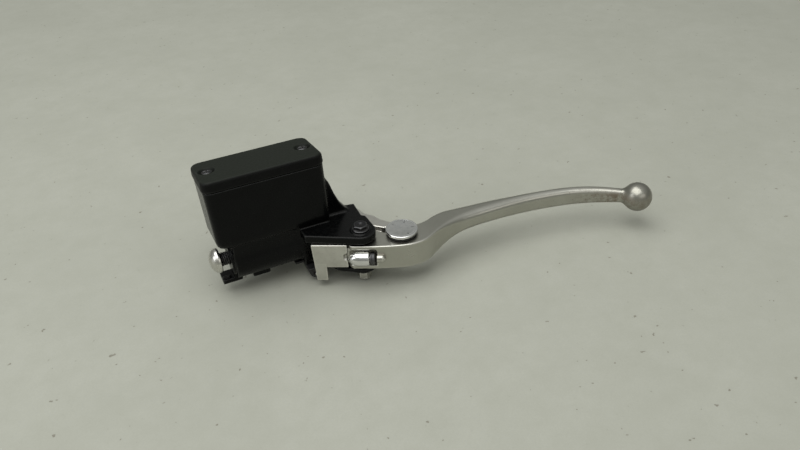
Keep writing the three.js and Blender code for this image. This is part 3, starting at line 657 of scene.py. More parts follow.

# the lever: plain satin metal with a stained neck and ball, and painted highlights along its edges
_n = Nodes("lever_satin")
_big, _mid, _fine = _n.noise(55, 5, 0.62), _n.noise(260, 4, 0.65), _n.noise(2400, 3, 0.6)
_edge_for_highlight, _hol = _n.attr("edge"), _n.attr("hollow")
_col = _n.mix(_n.ramp(_big, 0.35, 0.7), (0.455, 0.450, 0.405), (0.42, 0.415, 0.37))
_col = _n.mix(_n.ramp(_mid, 0.5, 0.8, 0.0, 0.18), _col, (0.34, 0.33, 0.29))
_col = _n.mix(_n.ramp(_n.axis(0), 0.2195, 0.2215, 0.0, 0.62), _col, (0.235, 0.232, 0.200))
# painted highlight: the lever's convex edges made nearly white
_col = _n.mix(_n.math("MULTIPLY", _edge_for_highlight, 0.55), _col, (0.86, 0.85, 0.80))
_x = _n.axis(0)
_neck = _n.ramp(_x, 0.185, 0.218)                     # towards the ball
_neck2 = _n.ramp(_x, 0.2185, 0.224, 1.0, 0.45)
_stain = _n.math("MULTIPLY", _n.math("MULTIPLY", _neck, _neck2), _n.ramp(_n.noise(190, 6, 0.72), 0.37, 0.53), True)
_stain = _n.math("MULTIPLY", _stain, _n.ramp(_n.facing_up(), 0.65, 0.1, 0.12, 1.0))
_pits = _n.math("MULTIPLY", _n.ramp(_n.noise(620, 5, 0.75), 0.60, 0.68), _n.ramp(_x, 0.12, 0.22, 0.18, 0.75))
_g = _n.math("ADD", _n.math("MULTIPLY", _stain, 0.85), _n.math("ADD", _pits, _n.math("MULTIPLY", _hol, 0.35)), True)
_col = _n.mix(_g, _col, _n.mix(_n.ramp(_n.noise(340, 4, 0.6), 0.35, 0.65), (0.13, 0.085, 0.05), (0.20, 0.16, 0.11)))
_n.set(Base_Color=_col, Metallic=_n.ramp(_g, 0, 1, 1.0, 0.25))
_lines = scratches(_n, 40, (8, 60, 60), (0.05, 0.1, 0.12), 0.62, 0.66)
_n.set(Roughness=_n.math("ADD", _n.mixf(_g, _n.ramp(_big, 0.3, 0.7, 0.27, 0.32), 0.7), _n.math("MULTIPLY", _lines, 0.05)))
_n.bump((_fine, 0.000011, 0.6), (_n.noise(1.0, 2, 0.5, _n.mapping((70, 1100, 1100), (0, 0, 0.06))), 0.000012, 0.25), (_n.noise(420, 4, 0.6), 0.00003, 0.12), (_lines, 0.00001, -0.4))
MATS["lever_satin"] = _n.m

# ------------------------------------------------------------------ numbers shared with the CAD model
BAR_Y, CYL_Y, CYL_R, FACE_X, MOUTH_X = 64.0, 29.5, 13.0, -77.5, -14.0
EAR_TOP, EAR_UNDER, LOW_TOP, LOW_UNDER = 14.5, 9.3, -9.9, -12.6
LT, LB, TT, TB, PZ = 8.0, -9.1, 8.9, -7.9, 1.2
DX, DY, DR = 24.5, -6.8, 10.1
SD, SZ = 10.2, 0.0
SWX, SWZ, SSX, SSY = -27.6, -17.2, -33.8, 30.6
DIR, NRM = np.array([0.883, -0.47]), np.array([-0.47, -0.883])
TIL = math.radians(9.5)
RO = (-48.05, 16.2, 17.2)


def sd(s, d):
    return tuple(DIR * s + NRM * d)


def leaned(f):
    c, s = math.cos(TIL), math.sin(TIL)

    def g(x, y, z):
        dy, dz = y - RO[1], z - RO[2]
        return f(x - RO[0], dy * c - dz * s, dy * s + dz * c)
    return g


def lean_point(u, v, w):
    c, s = math.cos(TIL), math.sin(TIL)
    return (RO[0] + u, RO[1] + v * c + w * s, RO[2] - v * s + w * c)


def tray(levels, edge=0.3):
    """rounded rectangle whose size follows w: rows of w, length, v0, v1, corner radius"""
    L = np.array(levels, float)

    def f(u, v, w):
        l = np.interp(w, L[:, 0], L[:, 1]) / 2
        v0, v1 = np.interp(w, L[:, 0], L[:, 2]), np.interp(w, L[:, 0], L[:, 3])
        r = np.interp(w, L[:, 0], L[:, 4])
        a, b = np.abs(u) - l + r, np.abs(v - (v0 + v1) / 2) - (v1 - v0) / 2 + r
        d = np.hypot(np.maximum(a, 0), np.maximum(b, 0)) + np.minimum(np.maximum(a, b), 0) - r
        return both(d, np.abs(w - (L[0, 0] + L[-1, 0]) / 2) - (L[-1, 0] - L[0, 0]) / 2, edge)
    return f


h_body, h_fine, h_tiny = ((0.5, 0.36, 0.14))

# ------------------------------------------------------------------ body casting
ear_o = Outline(rounded([(-33, 24), (-33, 9.6), (-31, 8.4)] + arc(0, 0, 9.2, 238, 360, 24) + [(9, 4), (8.7, 13.2), (6.6, 14.9), (7.3, 29.6), (-0.5, 31), (-14.5, 36)], 0.9))
low_o = Outline(rounded([(-31, 24), (-31, 18), (-21, 13.5), (-17, 1.2)] + arc(0, 0, 9.2, 240, 360, 24) + [(8.6, 6), (8.2, 14), (7.3, 29.6), (-0.5, 31), (-14.5, 36)], 0.9))
web_o = Outline(rounded([(19, 0), (17.6, 18), (30, 20), (45, 14), (42.4, 0)], 1.0))
rib_o = Outline(rounded([(-14, 13), (1.2, 13), (0.6, 15.5), (-3.6, 21.5), (-6.6, 29), (-9.4, 38), (-11.6, 42), (-14, 42)], 0.8))
clamp_o = Outline(rounded([(38, -11.5), (38, 12), (50, 13.5), (52.5, 23.5), (63.7, 23.5), (63.7, -23.5), (52.5, -23.5), (50, -13.5)], [0, 0, 2.5, 2.0, 0.5, 0.5, 2.0, 2.5]))
cyl_f = rod(CYL_R, (-75.6, CYL_Y, 0), (MOUTH_X, CYL_Y, 0), 1.0)
seat_f = rod(10.6, (FACE_X, CYL_Y, 0), (-74, CYL_Y, 0), 0.45)
web_f = slab_x(web_o, -75.6, -13.7, 0.9)
res_f = leaned(tray([(-1.5, 66.5, 3.5, 33.6, 4), (-1.1, 68.2, 2.4, 34.9, 4.4), (-0.4, 69.9, 1.3, 35.9, 4.8), (0.6, 70.9, 0.7, 36.5, 5), (1.9, 71.6, 0.2, 37.0, 5.1),
                     (3.2, 71.9, 0, 37.3, 5.2), (36.3, 73.5, -0.8, 38.1, 5.6)], 0.3))
ear_f = slab_z(ear_o, EAR_UNDER, EAR_TOP, 0.75)
low_f = slab_z(low_o, LOW_UNDER, LOW_TOP, 0.7)
gus_f = box((-33, 17, LOW_UNDER), (-14, 30, EAR_TOP), 0.8)
bossu_f = rod(6.4, (0, 0, EAR_TOP - 2), (0, 0, EAR_TOP + 0.6), 0.25)
bossl_f = rod(5.6, (0, 0, LOW_UNDER + 2), (0, 0, -15.9), 0.5)
rib_f = slab_y(rib_o, 23.5, 29.5, 0.9)
lug_f = box((-84.4, 24.5, -14.8), (-72, 35, -11.6), 0.5)
lug2_f = box((-77, 25, -13), (-72, 34, -8), 0.5)
lug3_f = box((-84.2, 26.2, -13.4), (-79.5, 28.0, -10.4), 0.4)
foot_f = box((-65.3, 24, -15.2), (-54.2, 31, -8), 0.6)
sboss_f = rod(3.1, (SSX, SSY, -14.5), (SSX, SSY, -9), 0.3)
clamp_f = slab_x(clamp_o, -56, -32, 0.7)
bore_f = rod(7.0, (-66, CYL_Y, 0), (MOUTH_X + 3, CYL_Y, 0), 0.3)
cbore_f = rod(9.5, (-18.2, CYL_Y, 0), (MOUTH_X + 3, CYL_Y, 0), 0.2)
port_f = rod(4.9, (FACE_X - 3, CYL_Y, PZ), (-65, CYL_Y, PZ), 0.2)
portc_f = rod(6.2, (FACE_X - 3, CYL_Y, PZ), (FACE_X + 0.7, CYL_Y, PZ), 0.1, 4.9)
piv_f = rod(3.3, (0, 0, -20), (0, 0, 19), 0.2)
barh_f = rod(11.25, (-66, BAR_Y, 0), (-22, BAR_Y, 0), 0.2)
ports_f = [rod(1.5, (-37.5, CYL_Y, 3), (-37.5, CYL_Y, 26), 0.1), rod(0.75, (-45.4, CYL_Y, 3), (-45.4, CYL_Y, 26), 0.1)]
room = tray([(4.5, 61.9, 4.6, 32.7, 4), (7, 64.5, 3.4, 33.9, 4), (37.3, 66.2, 3.4, 34.2, 4)], 0.3)
posts = [rod(4.4, (s * 29.8, 19.6, 0), (s * 29.8, 19.6, 40), 0.2) for s in (-1, 1)]
webs = [box((29.8, 17.2, 0), (38, 22, 40), 0.2), box((-38, 17.2, 0), (-29.8, 22, 40), 0.2)]
tapped = [rod(2.2, (s * 29.8, 19.6, 20), (s * 29.8, 19.6, 42), 0.1) for s in (-1, 1)]
glass_seat = rod(6.4, (-12, 30, 20), (-12, 48, 20), 0.2)
bolts_f = [rod(3.3, (-44, 54.2, s * 17.5), (-44, 68, s * 17.5), 0.2) for s in (-1, 1)]
sscrew_f = rod(1.7, (SSX, SSY, -18), (SSX, SSY, -10.2), 0.1)


def body_field(x, y, z):
    d = smin(cyl_f(x, y, z), web_f(x, y, z), 2.2)
    d = smin(d, seat_f(x, y, z), 0.8)
    d = smin(d, res_f(x, y, z), 1.8)
    ears = smin(ear_f(x, y, z), rib_f(x, y, z), 2.6)
    ears = np.minimum(ears, low_f(x, y, z))
    ears = smin(ears, gus_f(x, y, z), 1.0)
    d = smin(d, ears, 1.1)
    d = smin(d, bossu_f(x, y, z), 0.5)
    d = smin(d, bossl_f(x, y, z), 0.6)
    d = smin(d, smin(smin(lug_f(x, y, z), lug2_f(x, y, z), 0.8), lug3_f(x, y, z), 0.7), 0.9)
    d = smin(d, foot_f(x, y, z), 1.0)
    d = smin(d, sboss_f(x, y, z), 0.8)
    d = smin(d, clamp_f(x, y, z), 2.2)
    # bores, ports, pivot hole, bolt holes and the bar's seat cut out of the casting
    for g in (bore_f, cbore_f, port_f, portc_f, piv_f, *ports_f, *bolts_f, sscrew_f, barh_f):
        d = smax(d, -g(x, y, z), 0.35)
    c, s = math.cos(TIL), math.sin(TIL)
    dy, dz = y - RO[1], z - RO[2]
    u, v, w = x - RO[0], dy * c - dz * s, dy * s + dz * c
    keep = np.minimum(np.minimum(posts[0](u, v, w), posts[1](u, v, w)), np.minimum(webs[0](u, v, w), webs[1](u, v, w)))
    inner = smax(room(u, v, w), -keep, 0.6)
    d = smax(d, -inner, 0.35)
    for g in (*tapped, glass_seat):
        d = smax(d, -g(u, v, w), 0.3)
    return d


V, Q = skin(body_field, (-84.6, -9.4, -23.7), (9.5, 64, 54), h_body)
solid("body", V, Q)

# ------------------------------------------------------------------ reservoir cap and its screws
cap_t = tray([(36.6, 73.7, -0.86, 38.2, 5.6), (37.1, 74.3, -1.16, 38.49, 5.9), (37.5, 74.5, -1.26, 38.59, 6), (41.4, 74.25, -1.13, 38.46, 6), (42.2, 73.8, -0.9, 38.24, 5.7),
              (42.8, 73.0, -0.5, 37.84, 5.4), (43.3, 71.8, 0.1, 37.24, 4.9)], 0.12)
cap_in = tray([(35, 70, 1.2, 36.3, 4.8), (39.7, 70, 1.2, 36.3, 4.8)], 0.2)


def cap_field(x, y, z):
    c, s = math.cos(TIL), math.sin(TIL)
    dy, dz = y - RO[1], z - RO[2]
    u, v, w = x - RO[0], dy * c - dz * s, dy * s + dz * c
    d = smax(cap_t(u, v, w), -cap_in(u, v, w), 0.3)
    for sgn in (-1, 1):
        rad = np.hypot(u - sgn * 29.8, v - 19.6)
        d = smax(d, -both(rad - 2.3, 35 - w, 0.1), 0.2)
        # countersink with a small lip round it
        d = smax(d, -both(rad - (3.4 + 2.0 * np.clip((w - 41.0) / 2.3, 0, 1)), 41.0 - w, 0.1), 0.25)
    return d


V, Q = skin(cap_field, (-86, 20, 50), (-10, 66, 62.5), 0.42)
solid("reservoir_cap", V, Q)


def screw_cross(u0, v0, w_top, r_slot, wide, depth):
    """cross recess at the top of a head, in its own upright frame"""
    def f(x, y, z):
        a = np.maximum(np.abs(x - u0) - r_slot, np.abs(y - v0) - wide)
        b = np.maximum(np.abs(x - u0) - wide, np.abs(y - v0) - r_slot)
        return np.maximum(np.minimum(a, b), (w_top - depth) - z + np.maximum(np.abs(x - u0), np.abs(y - v0)) * 0.5 - wide * 0.5)
    return f


for nm, sgn in (("cap_screw_left", -1), ("cap_screw_right", 1)):
    cr = screw_cross(0, 0, 43.3, 2.4, 0.42, 1.3)

    def f(x, y, z, sgn=sgn, cr=cr):
        c, s = math.cos(TIL), math.sin(TIL)
        dy, dz = y - RO[1], z - RO[2]
        u, v, w = x - RO[0] - sgn * 29.8, dy * c - dz * s - 19.6, dy * s + dz * c
        rad = np.hypot(u, v)
        ph = w / 0.8 - np.arctan2(v, u) / (2 * math.pi)
        shank = both(rad - (1.9 - 0.28 * np.abs(ph - np.round(ph)) * 2), np.abs(w - 33.5) - 8.5, 0.1) * 0.8
        dome = np.sqrt(rad * rad + (w - 36.5) ** 2) - 6.85
        head = smax(both(rad - (2.0 + 1.9 * np.clip((w - 41.0) / 2.05, 0, 1)), np.abs(w - 42.2) - 1.15, 0.12), dome, 0.2)
        return smax(np.minimum(shank, head), -cr(u, v, w), 0.12)
    p0, p1 = np.array(lean_point(sgn * 29.8, 19.6, 24)), np.array(lean_point(sgn * 29.8, 19.6, 43.5))
    lo, hi = np.minimum(p0, p1) - 4.2, np.maximum(p0, p1) + 4.2
    V, Q = skin(f, lo, hi, 0.2)
    solid(nm, V, Q, slot="black_steel")

# ------------------------------------------------------------------ hose bolt: mushroom head on a threaded shank
bolt_prof = rounded([(-89.6, 0), (-89.5, 1.9), (-89.1, 3.6), (-88.3, 5.3), (-87.1, 6.7), (-85.8, 7.6), (-84.4, 8.0), (-83.4, 7.9), (-82.9, 7.3), (-82.9, 4.4)], [0, 1.0, 1.5, 1.8, 1.8, 1.6, .9, .5, .3, 0])
V, F = lathe(bolt_prof + [(-82.0, 4.4), (-82.0, 0)], (0, CYL_Y, PZ), (1, 0, 0), 112)
solid("hose_bolt_head", V, F, node="hose_bolt", slot="bright_steel")
shank = thread(lambda x, y, z: rod(3.9, (-82.4, CYL_Y, PZ), (-66.1, CYL_Y, PZ), 0.3)(x, y, z), (0, CYL_Y, PZ), (1, 0, 0), 4.4, 1.25, 0.62, -82.0, -67.0)
hole = rod(1.7, (-76, CYL_Y, PZ), (-60, CYL_Y, PZ), 0.1)
V, Q = skin(lambda x, y, z: smax(shank(x, y, z), -hole(x, y, z), 0.2), (-82.6, CYL_Y - 4.5, PZ - 4.5), (-66, CYL_Y + 4.5, PZ + 4.5), 0.2)
# the shank is given black steel so it reads dark: painted shade in the gap between the bolt head and the body
solid("hose_bolt_shank", V, Q, node="hose_bolt", slot="black_steel")

# ------------------------------------------------------------------ pivot bolt and nut
hexd = lambda u, v, af, turn: np.max([np.abs(u * math.cos(t) + v * math.sin(t)) for t in [turn + k * math.pi / 3 for k in range(3)]], axis=0) - af / 2


def pivot_bolt(x, y, z):
    rad = np.hypot(x, y)
    hx = smax(hexd(x, y, 8.0, math.radians(42)), np.abs(z - 16.7) - 1.9, 0.25)
    hx = smax(hx, (rad - 4.35 + (z - 18.3) * 1.2) * 0.65, 0.25)
    hx = smax(hx, -(np.sqrt(rad ** 2 + (z - 20.6) ** 2) - 2.6), 0.3)
    fl = both(rad - (5.4 - 0.25 * np.clip((z - 15.4) / 0.7, 0, 1)), np.abs(z - 15.75) - 0.35, 0.15)
    d = smin(hx, fl, 0.5)
    ph = z / 1.0 - np.arctan2(y, x) / (2 * math.pi)
    thr = np.where(z < -15, 0.42 * np.abs(ph - np.round(ph)) * 2, 0)
    sh = both(rad - (2.9 - thr), np.abs(z + 3.15) - 18.85, 0.45) * 0.85
    return smin(d, sh, 0.15)


V, Q = skin(pivot_bolt, (-5.6, -5.6, -22.5), (5.6, 5.6, 18.8), 0.22)
solid("pivot_bolt", V, Q)


def pivot_nut(x, y, z):
    rad = np.hypot(x, y)
    hx = smax(hexd(x, y, 8.0, 0.0), np.abs(z + 18.9) - 2.7, 0.25)
    hx = smax(hx, (rad - 4.2 + (-21.2 - z) * 1.2) * 0.65, 0.25)
    return smax(hx, -(rad - 3.2), 0.15)


V, Q = skin(pivot_nut, (-5.0, -5.0, -21.8), (5.0, 5.0, -16.1), 0.17)
solid("pivot_nut", V, Q)
V, F = lathe([(-9.6, 3.2), (-9.6, 3.9), (9.0, 3.9), (9.0, 3.2), (-9.6, 3.2)], (0, 0, 0), (0, 0, 1), 72, 0.12)
solid("pivot_bush", V, F)

# ------------------------------------------------------------------ lever holder
tail_o = Outline(rounded([sd(-33, 9.1), sd(-8.2, 9.1), sd(-8.2, -1.5), sd(-16, -1.2), sd(-30, 0.8), sd(-33, 0.8)], [0.3, 0.25, 0.4, 0.6, 0.3, 0.3]), s=0.15)
leg_o = Outline(rounded([sd(-33, 9.1), sd(-21.8, 9.2), sd(-21.8, 4.6), sd(-33, 4.6)], 0.35), s=0.15)
arm_o = Outline(rounded([(4.9, 25.5), (3.4, 20), (1.4, 12.6)] + arc(0, 0, 11.2, 80, 62, 6) + [(9.4, 10.9), (11.4, 9), (16.8, 3.9), (22.6, 2.6), (23.4, 7.1), (18.4, 13.7),
                         (16.6, 19.2), (13.1, 23.4), (12, 25.2), (10.8, 31.2), (8.6, 33), (6.8, 33), (5.9, 32.2)], 0.7), s=0.15)
ton_o = Outline(arc(0, 0, 8, 200, 300, 16) + [(8.6, 0.2), (9.4, 4), (16, 4.6), (15, 9), (6, 16), (1.4, 13), (-6, 9.2), sd(-12, -1.2), sd(-12, 6.2)], s=0.2)
nose_o = Outline(rounded([(21.2, 0.9), (22.2, 0.35), (25.2, 0.35), (26.2, 1.0), (25.6, 5.2), (20.6, 7.2)], 0.3), s=0.15)
swing = rod(11.2, (0, 0, -25), (0, 0, 25), 0.2)
tail_f = slab_z(tail_o, TB, TT, 0.35)
leg_f = slab_z(leg_o, -18.2, -5, 0.35)
arm_f = slab_z(arm_o, -6.9, LT, 0.6)


def outer_end(x, y, z):
    """the tail's outer end leans inwards towards the bottom"""
    return -((x * DIR[0] + y * DIR[1]) - (-30.3 + (TT - z) * 0.055))



ton_f = slab_z(ton_o, -5.9, 4.8, 0.3)
nose_f = slab_z(nose_o, -4.5, 4.5, 0.3)
push_f = rod(3.1, (7.4, CYL_Y, -5.2), (7.4, CYL_Y, 5.2), 0.4)
phole = rod(4.25, (0, 0, -20), (0, 0, 20), 0.2)
S3 = np.array([*sd(0, SD), SZ])
D3 = np.array([*DIR, 0.0])


def along_spring(x, y, z):
    t = (x - S3[0]) * D3[0] + (y - S3[1]) * D3[1]
    q = (x - S3[0]) * -D3[1] + (y - S3[1]) * D3[0]
    return t, np.hypot(q, z - S3[2])


def holder_field(x, y, z):
    t = smax(tail_f(x, y, z), -swing(x, y, z), 0.3)
    t = smin(t, leg_f(x, y, z), 0.3)
    t = both(t, outer_end(x, y, z), 0.35)
    d = smin(t, arm_f(x, y, z), 0.8)
    d = smin(d, ton_f(x, y, z), 0.6)
    d = smin(d, nose_f(x, y, z), 0.5)
    d = smin(d, push_f(x, y, z), 0.6)
    d = smax(d, -phole(x, y, z), 0.25)
    a, r = along_spring(x, y, z)
    rad = np.interp(a, [-11, -8.9, -7.0, -5.6, -3.4, 14], [2.1, 2.9, 4.5, 5.1, 5.4, 5.4])
    d = smax(d, -both(r - rad, np.maximum(-10.6 - a, a - 14), 0.3), 0.35)
    return d


V, Q = skin(holder_field, (-37, -16, -18.4), (27, 34, 9.1), 0.32)
solid("lever_holder", V, Q)

# ------------------------------------------------------------------ lever blade
front = [(11, -15.6), (18.1, -18.4), (22.5, -19.7), (26.6, -20.4), (31, -20.4), (35, -19.7), (39.5, -17.9), (44, -15.5), (50, -12.8), (58, -10.1), (66, -8.5), (75, -7.7),
         (85, -7.4), (96, -7.4), (107, -7.7), (118, -8.6), (128, -10.0), (138, -11.9), (147, -14.2), (156, -17.5), (164, -21.3), (171, -25.4), (176.4, -28.9), (184, -34.4)]
rear = [(11.1, 3.4), (13.4, 0.6), (15.6, -1.1), (18.4, -1.5), (24, -1.7), (31, -2.2), (37.2, -2.4), (44, -0.8), (50, 2.6), (58, 5.4), (66, 6.0), (75, 5.6), (85, 4.9),
        (96, 3.6), (107, 1.9), (118.4, 0.2), (128.8, -1.7), (139.2, -3.9), (148.8, -6.6), (158.6, -10.3), (167.4, -14.8), (175, -19.8), (180.6, -23.9), (188, -29.4)]
plan = Outline(arc(0, 0, 10.3, 214, 28, 40) + spline(rear, 5) + spline(front[::-1], 5) + rounded([(11, -15.6), sd(9.8, 9.1), sd(0, 9.1)], [0, 0, 0]), s=0.2, pad=5)
mid_o = Outline(arc(0, 0, 9.5, -52, -12, 8) + [(13.9, -2.2), (16.2, 0.5), (18, 30), (240, 30), (240, -70), sd(9.8, 60), sd(9.8, 6)], s=0.3, pad=4)
ZX = np.array([30, 40, 44, 50, 58, 66, 75, 85, 96, 107, 118, 128, 138, 147, 156, 164, 171, 176.4, 182, 190.0])
ZT = np.array([8, 7.95, 7.75, 7.3, 6.85, 6.45, 6.25, 6.15, 6.05, 5.95, 5.85, 5.75, 5.55, 5.35, 5.05, 4.65, 4.25, 3.85, 3.45, 3.0])
ZB = np.array([-9.1, -9.0, -8.6, -7.7, -6.7, -6.15, -6.0, -6.2, -6.5, -6.9, -7.2, -7.4, -7.5, -7.4, -7.2, -6.9, -6.5, -6.1, -5.7, -5.3])
fine_x = np.linspace(30, 190, 321)


def smoothed(y):
    v = np.interp(fine_x, ZX, y)
    k = np.ones(21) / 21
    p = np.concatenate([np.full(10, v[0]), v, np.full(10, v[-1])])
    return np.convolve(p, k, "valid")


ZTs, ZBs = smoothed(ZT), smoothed(ZB)
ball = np.array([186.6, -32.4, -1.2])
cam_room = Outline(arc(DX, DY, 7.6, 180, 360, 24) + [(DX + 7.6, 8), (DX - 7.6, 8)], s=0.2)
dial_hole = rod(3.3, (DX, DY, -20), (DX, DY, 20), 0.1)
slot_mid, slot_half = (LT - 2.8 + LB + 2.8) / 2, (LT - 2.8 - (LB + 2.8)) / 2


def blade_field(x, y, z):
    d2 = plan(x, y)
    zt, zb = np.interp(x, fine_x, ZTs), np.interp(x, fine_x, ZBs)
    zm, hh = (zt + zb) / 2, (zt - zb) / 2
    q = (z - zm) / hh
    crown = np.interp(x, [38, 52, 66, 80, 160, 180], [0.0, 0.4, 0.7, 0.8, 0.6, 0.3])
    k = np.interp(x, [36, 46, 56, 68, 80, 130, 165, 182], [0.7, 1.3, 2.8, 4.2, 4.6, 4.4, 3.6, 3.0])
    side = d2 + crown * np.clip(q * q, 0, 1.5)
    top = np.abs(z - zm) - hh
    h = np.maximum(k - np.abs(side - top), 0) / k
    d = np.maximum(side, top) + h * h * k * 0.25
    # fork: open between its plates, left of the solid part
    gap = smax(-mid_o(x, y), np.abs(z - slot_mid) - slot_half, 0.5)
    d = smax(d, -gap, 0.4)
    b = np.sqrt((x - ball[0]) ** 2 + (y - ball[1]) ** 2 + (z - ball[2]) ** 2) - 9.7
    d = smin(d, b, 2.2)
    a, r = along_spring(x, y, z)
    # rounded pin that the spring bears on, and the dish round it
    d = smax(d, -both(r - 4.5, np.abs(a - 9.6) - 0.55, 0.3), 0.3)
    pin = np.sqrt(np.maximum(a - 13.0, 0) ** 2 + r * r) - 2.55
    pin = smax(pin, 9.95 - a, 0.5)
    d = smin(d, pin, 0.5)
    d = smax(d, -both(cam_room(x, y), np.abs(z) - 5, 0.2), 0.3)
    d = smax(d, -phole(x, y, z), 0.25)
    return smax(d, -dial_hole(x, y, z), 0.2)


V, Q = skin(blade_field, (-10.5, -42.3, -11), (196.5, 13, 8.6), 0.38)
solid("lever_blade", V, Q, slot="lever_satin")

# ------------------------------------------------------------------ adjuster plunger and spring
V, F = lathe(rounded([(-7.6, 0), (-7.55, 0.9), (-7.1, 2.0), (-6.0, 3.2), (-4.4, 4.15), (-2.6, 4.7), (-0.4, 4.9), (5.0, 4.7), (5.6, 4.35), (5.7, 3.6), (5.7, 2.1), (8.2, 2.1), (8.2, 0)],
                     [0, .8, 1, 1.2, 1.4, 1.4, 1.2, .35, .25, .2, .1, .2, 0], 4), S3, D3, 96)
solid("plunger_cap", V, F)
V, F = coil(3.6, 0.6, 6.0, 9.1, 2.6, S3, D3, ends=0.8)
solid("adjuster_spring", V, F)

# ------------------------------------------------------------------ reach dial
def dial_field(x, y, z):
    u, v = x - DX, y - DY
    rad = np.hypot(u, v)
    face = both(rad - DR, np.abs(z - 10.8) - 0.9, 0.55)
    # a shallow dished face, a fine groove near the rim and a screwdriver-free plain centre
    ang = np.arctan2(v, u)
    face = smax(face, -(np.sqrt(rad ** 2 + (z - 131.2) ** 2) - 119.75), 0.12)
    ring = np.hypot(rad - 8.75, z - 11.72) - 0.16
    face = smax(face, -ring, 0.12)
    post = both(rad - 2.9, np.abs(z + 0.1) - 10.4, 0.25)
    grooves = both(np.abs(rad - 2.9) - 0.35, np.abs(z + 9.9) - 0.45, 0.05)
    return smax(smin(face, post, 0.3), -grooves, 0.1)


V, Q = skin(dial_field, (DX - DR, DY - DR, -11), (DX + DR, DY + DR, 11.8), 0.24)
solid("reach_dial", V, Q)
# black ring under the dial's rim: a washer that also fills the dark band there, as painted shadow of the dial
V, F = lathe([(LT + 0.3, 3.3), (LT + 0.3, 9.6), (LT + 1.6, 9.6), (LT + 1.6, 3.3), (LT + 0.3, 3.3)], (DX, DY, 0), (0, 0, 1), 96, 0.2)
solid("dial_ring", V, F)
cam_pts = []
for i in range(96):
    a = i * 3.75
    back = (90 - a + 360) % 360
    r = 6.8 - 2.2 * back / 270 if back <= 270 else 4.6 + 2.2 * (back - 270) / 90
    cam_pts.append((DX + (r - 0.02) * math.cos(math.radians(a)), DY + (r - 0.02) * math.sin(math.radians(a))))
cam_o = Outline(cam_pts, s=0.15, pad=2)
cam_f = slab_z(cam_o, -4.6, 4.6, 0.35)
V, Q = skin(lambda x, y, z: smax(cam_f(x, y, z), -(np.hypot(x - DX, y - DY) - 3.2), 0.15), (DX - 7.2, DY - 7.2, -4.8), (DX + 7.2, DY + 7.2, 4.8), 0.3)
solid("dial_cam", V, Q)


def clip_field(x, y, z):
    u, v = x - DX, y - DY
    rad = np.hypot(u, v)
    d = both(np.abs(rad - 4.2) - 1.0, np.abs(z - (LB - 0.8)) - 0.4, 0.12)
    return smax(d, -np.maximum(np.abs(u) - 1.6, v), 0.2)


V, Q = skin(clip_field, (DX - 5.4, DY - 5.4, LB - 1.3), (DX + 5.4, DY + 5.4, LB - 0.3), 0.16)
solid("dial_clip", V, Q)


def letters(name, items, body, slot):
    """small generic marks as thin raised meshes; items: text, x, y, z, turn, size"""
    made = []
    for i, (txt, x, y, z, turn, size) in enumerate(items):
        cu = bpy.data.curves.new(f"{name}_{i}", "FONT")
        cu.body, cu.size, cu.extrude = txt, size / 1000, 0.00003
        cu.align_x, cu.align_y = "CENTER", "CENTER"
        ob = bpy.data.objects.new(f"{name}_{i}", cu)
        bpy.context.scene.collection.objects.link(ob)
        bpy.context.view_layer.update()
        me = bpy.data.meshes.new_from_object(ob.evaluated_get(bpy.context.evaluated_depsgraph_get()))
        bpy.data.objects.remove(ob)
        p = (np.array([x, y, z]) + OFF) / 1000
        me.transform(Matrix.Translation(Vector(p)) @ Matrix.Rotation(turn, 4, "Z"))
        made.append(me)
    V, F, k = [], [], 0
    for me in made:
        V += [np.array(v.co) * 1000 - OFF for v in me.vertices]
        F += [tuple(k + j for j in p.vertices) for p in me.polygons]
        k += len(me.vertices)
    return solid(name, np.array(V), F, node="", body=body, slot=slot, smooth=False, marked=False)


items = []
for k, txt in enumerate(("1", "2", "3", "4")):
    a = math.radians(118 - 66 * k)
    items.append((txt, DX + 6.9 * math.cos(a), DY + 6.9 * math.sin(a), 11.66, a - math.pi / 2, 2.5))
letters("dial_numbers", items, "dial", "mark_ink")

# ------------------------------------------------------------------ hydraulics
on = lambda prof, r=0.12, n=72: lathe(prof, (0, CYL_Y, 0), (1, 0, 0), n, r)
V, F = on([(-44.6, 0), (-44.6, 1.8), (-40.1, 1.8), (-40.1, 6.7), (-38.6, 6.7), (-38.6, 4.6), (-25.2, 4.6), (-25.2, 6.7), (-24.0, 6.7), (-24.0, 5.0),
           (-20.4, 5.0), (-20.4, 6.7), (-18.6, 6.7), (-18.6, 4.0), (3.2, 4.0), (4, 3.2), (4, 0)])
solid("piston", V, F)
V, F = on([(-43.9, 5.2), (-43.9, 6.7), (-40.4, 6.7), (-40.4, 2.2), (-41.4, 2.2), (-41.4, 4.0), (-43.9, 5.2)], 0.2)
solid("primary_cup", V, F)
V, F = on([(-23.7, 5.3), (-23.7, 6.7), (-20.7, 6.7), (-20.7, 5.3), (-23.7, 5.3)], 0.2)
solid("secondary_cup", V, F)
V, F = on([(-17.9, 4.3), (-17.9, 9.1), (-16.9, 9.1), (-16.9, 4.3), (-17.9, 4.3)], 0.12)
solid("piston_washer", V, F)
V, F = coil(5.2, 0.65, -65, -44.8, 6.5, (0, CYL_Y, 0), (1, 0, 0), ends=1.0, steps=28, sides=10)
ob = solid("return_spring", V, F)
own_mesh(ob)


def circlip_field(x, y, z):
    u, v = y - CYL_Y, z
    rad = np.hypot(u, v)
    d = both(np.abs(rad - 8.3) - 0.75, np.abs(x + 16.1) - 0.48, 0.1)
    ears = np.minimum(np.hypot(u - 2.9, v + 7.3), np.hypot(u + 2.9, v + 7.3)) - 1.35
    d = np.minimum(d, both(ears, np.abs(x + 16.1) - 0.48, 0.1))
    d = smax(d, -np.maximum(np.abs(u) - 1.9, v + 4), 0.15)
    return smax(d, 0.55 - np.minimum(np.hypot(u - 2.9, v + 7.3), np.hypot(u + 2.9, v + 7.3)), 0.1)


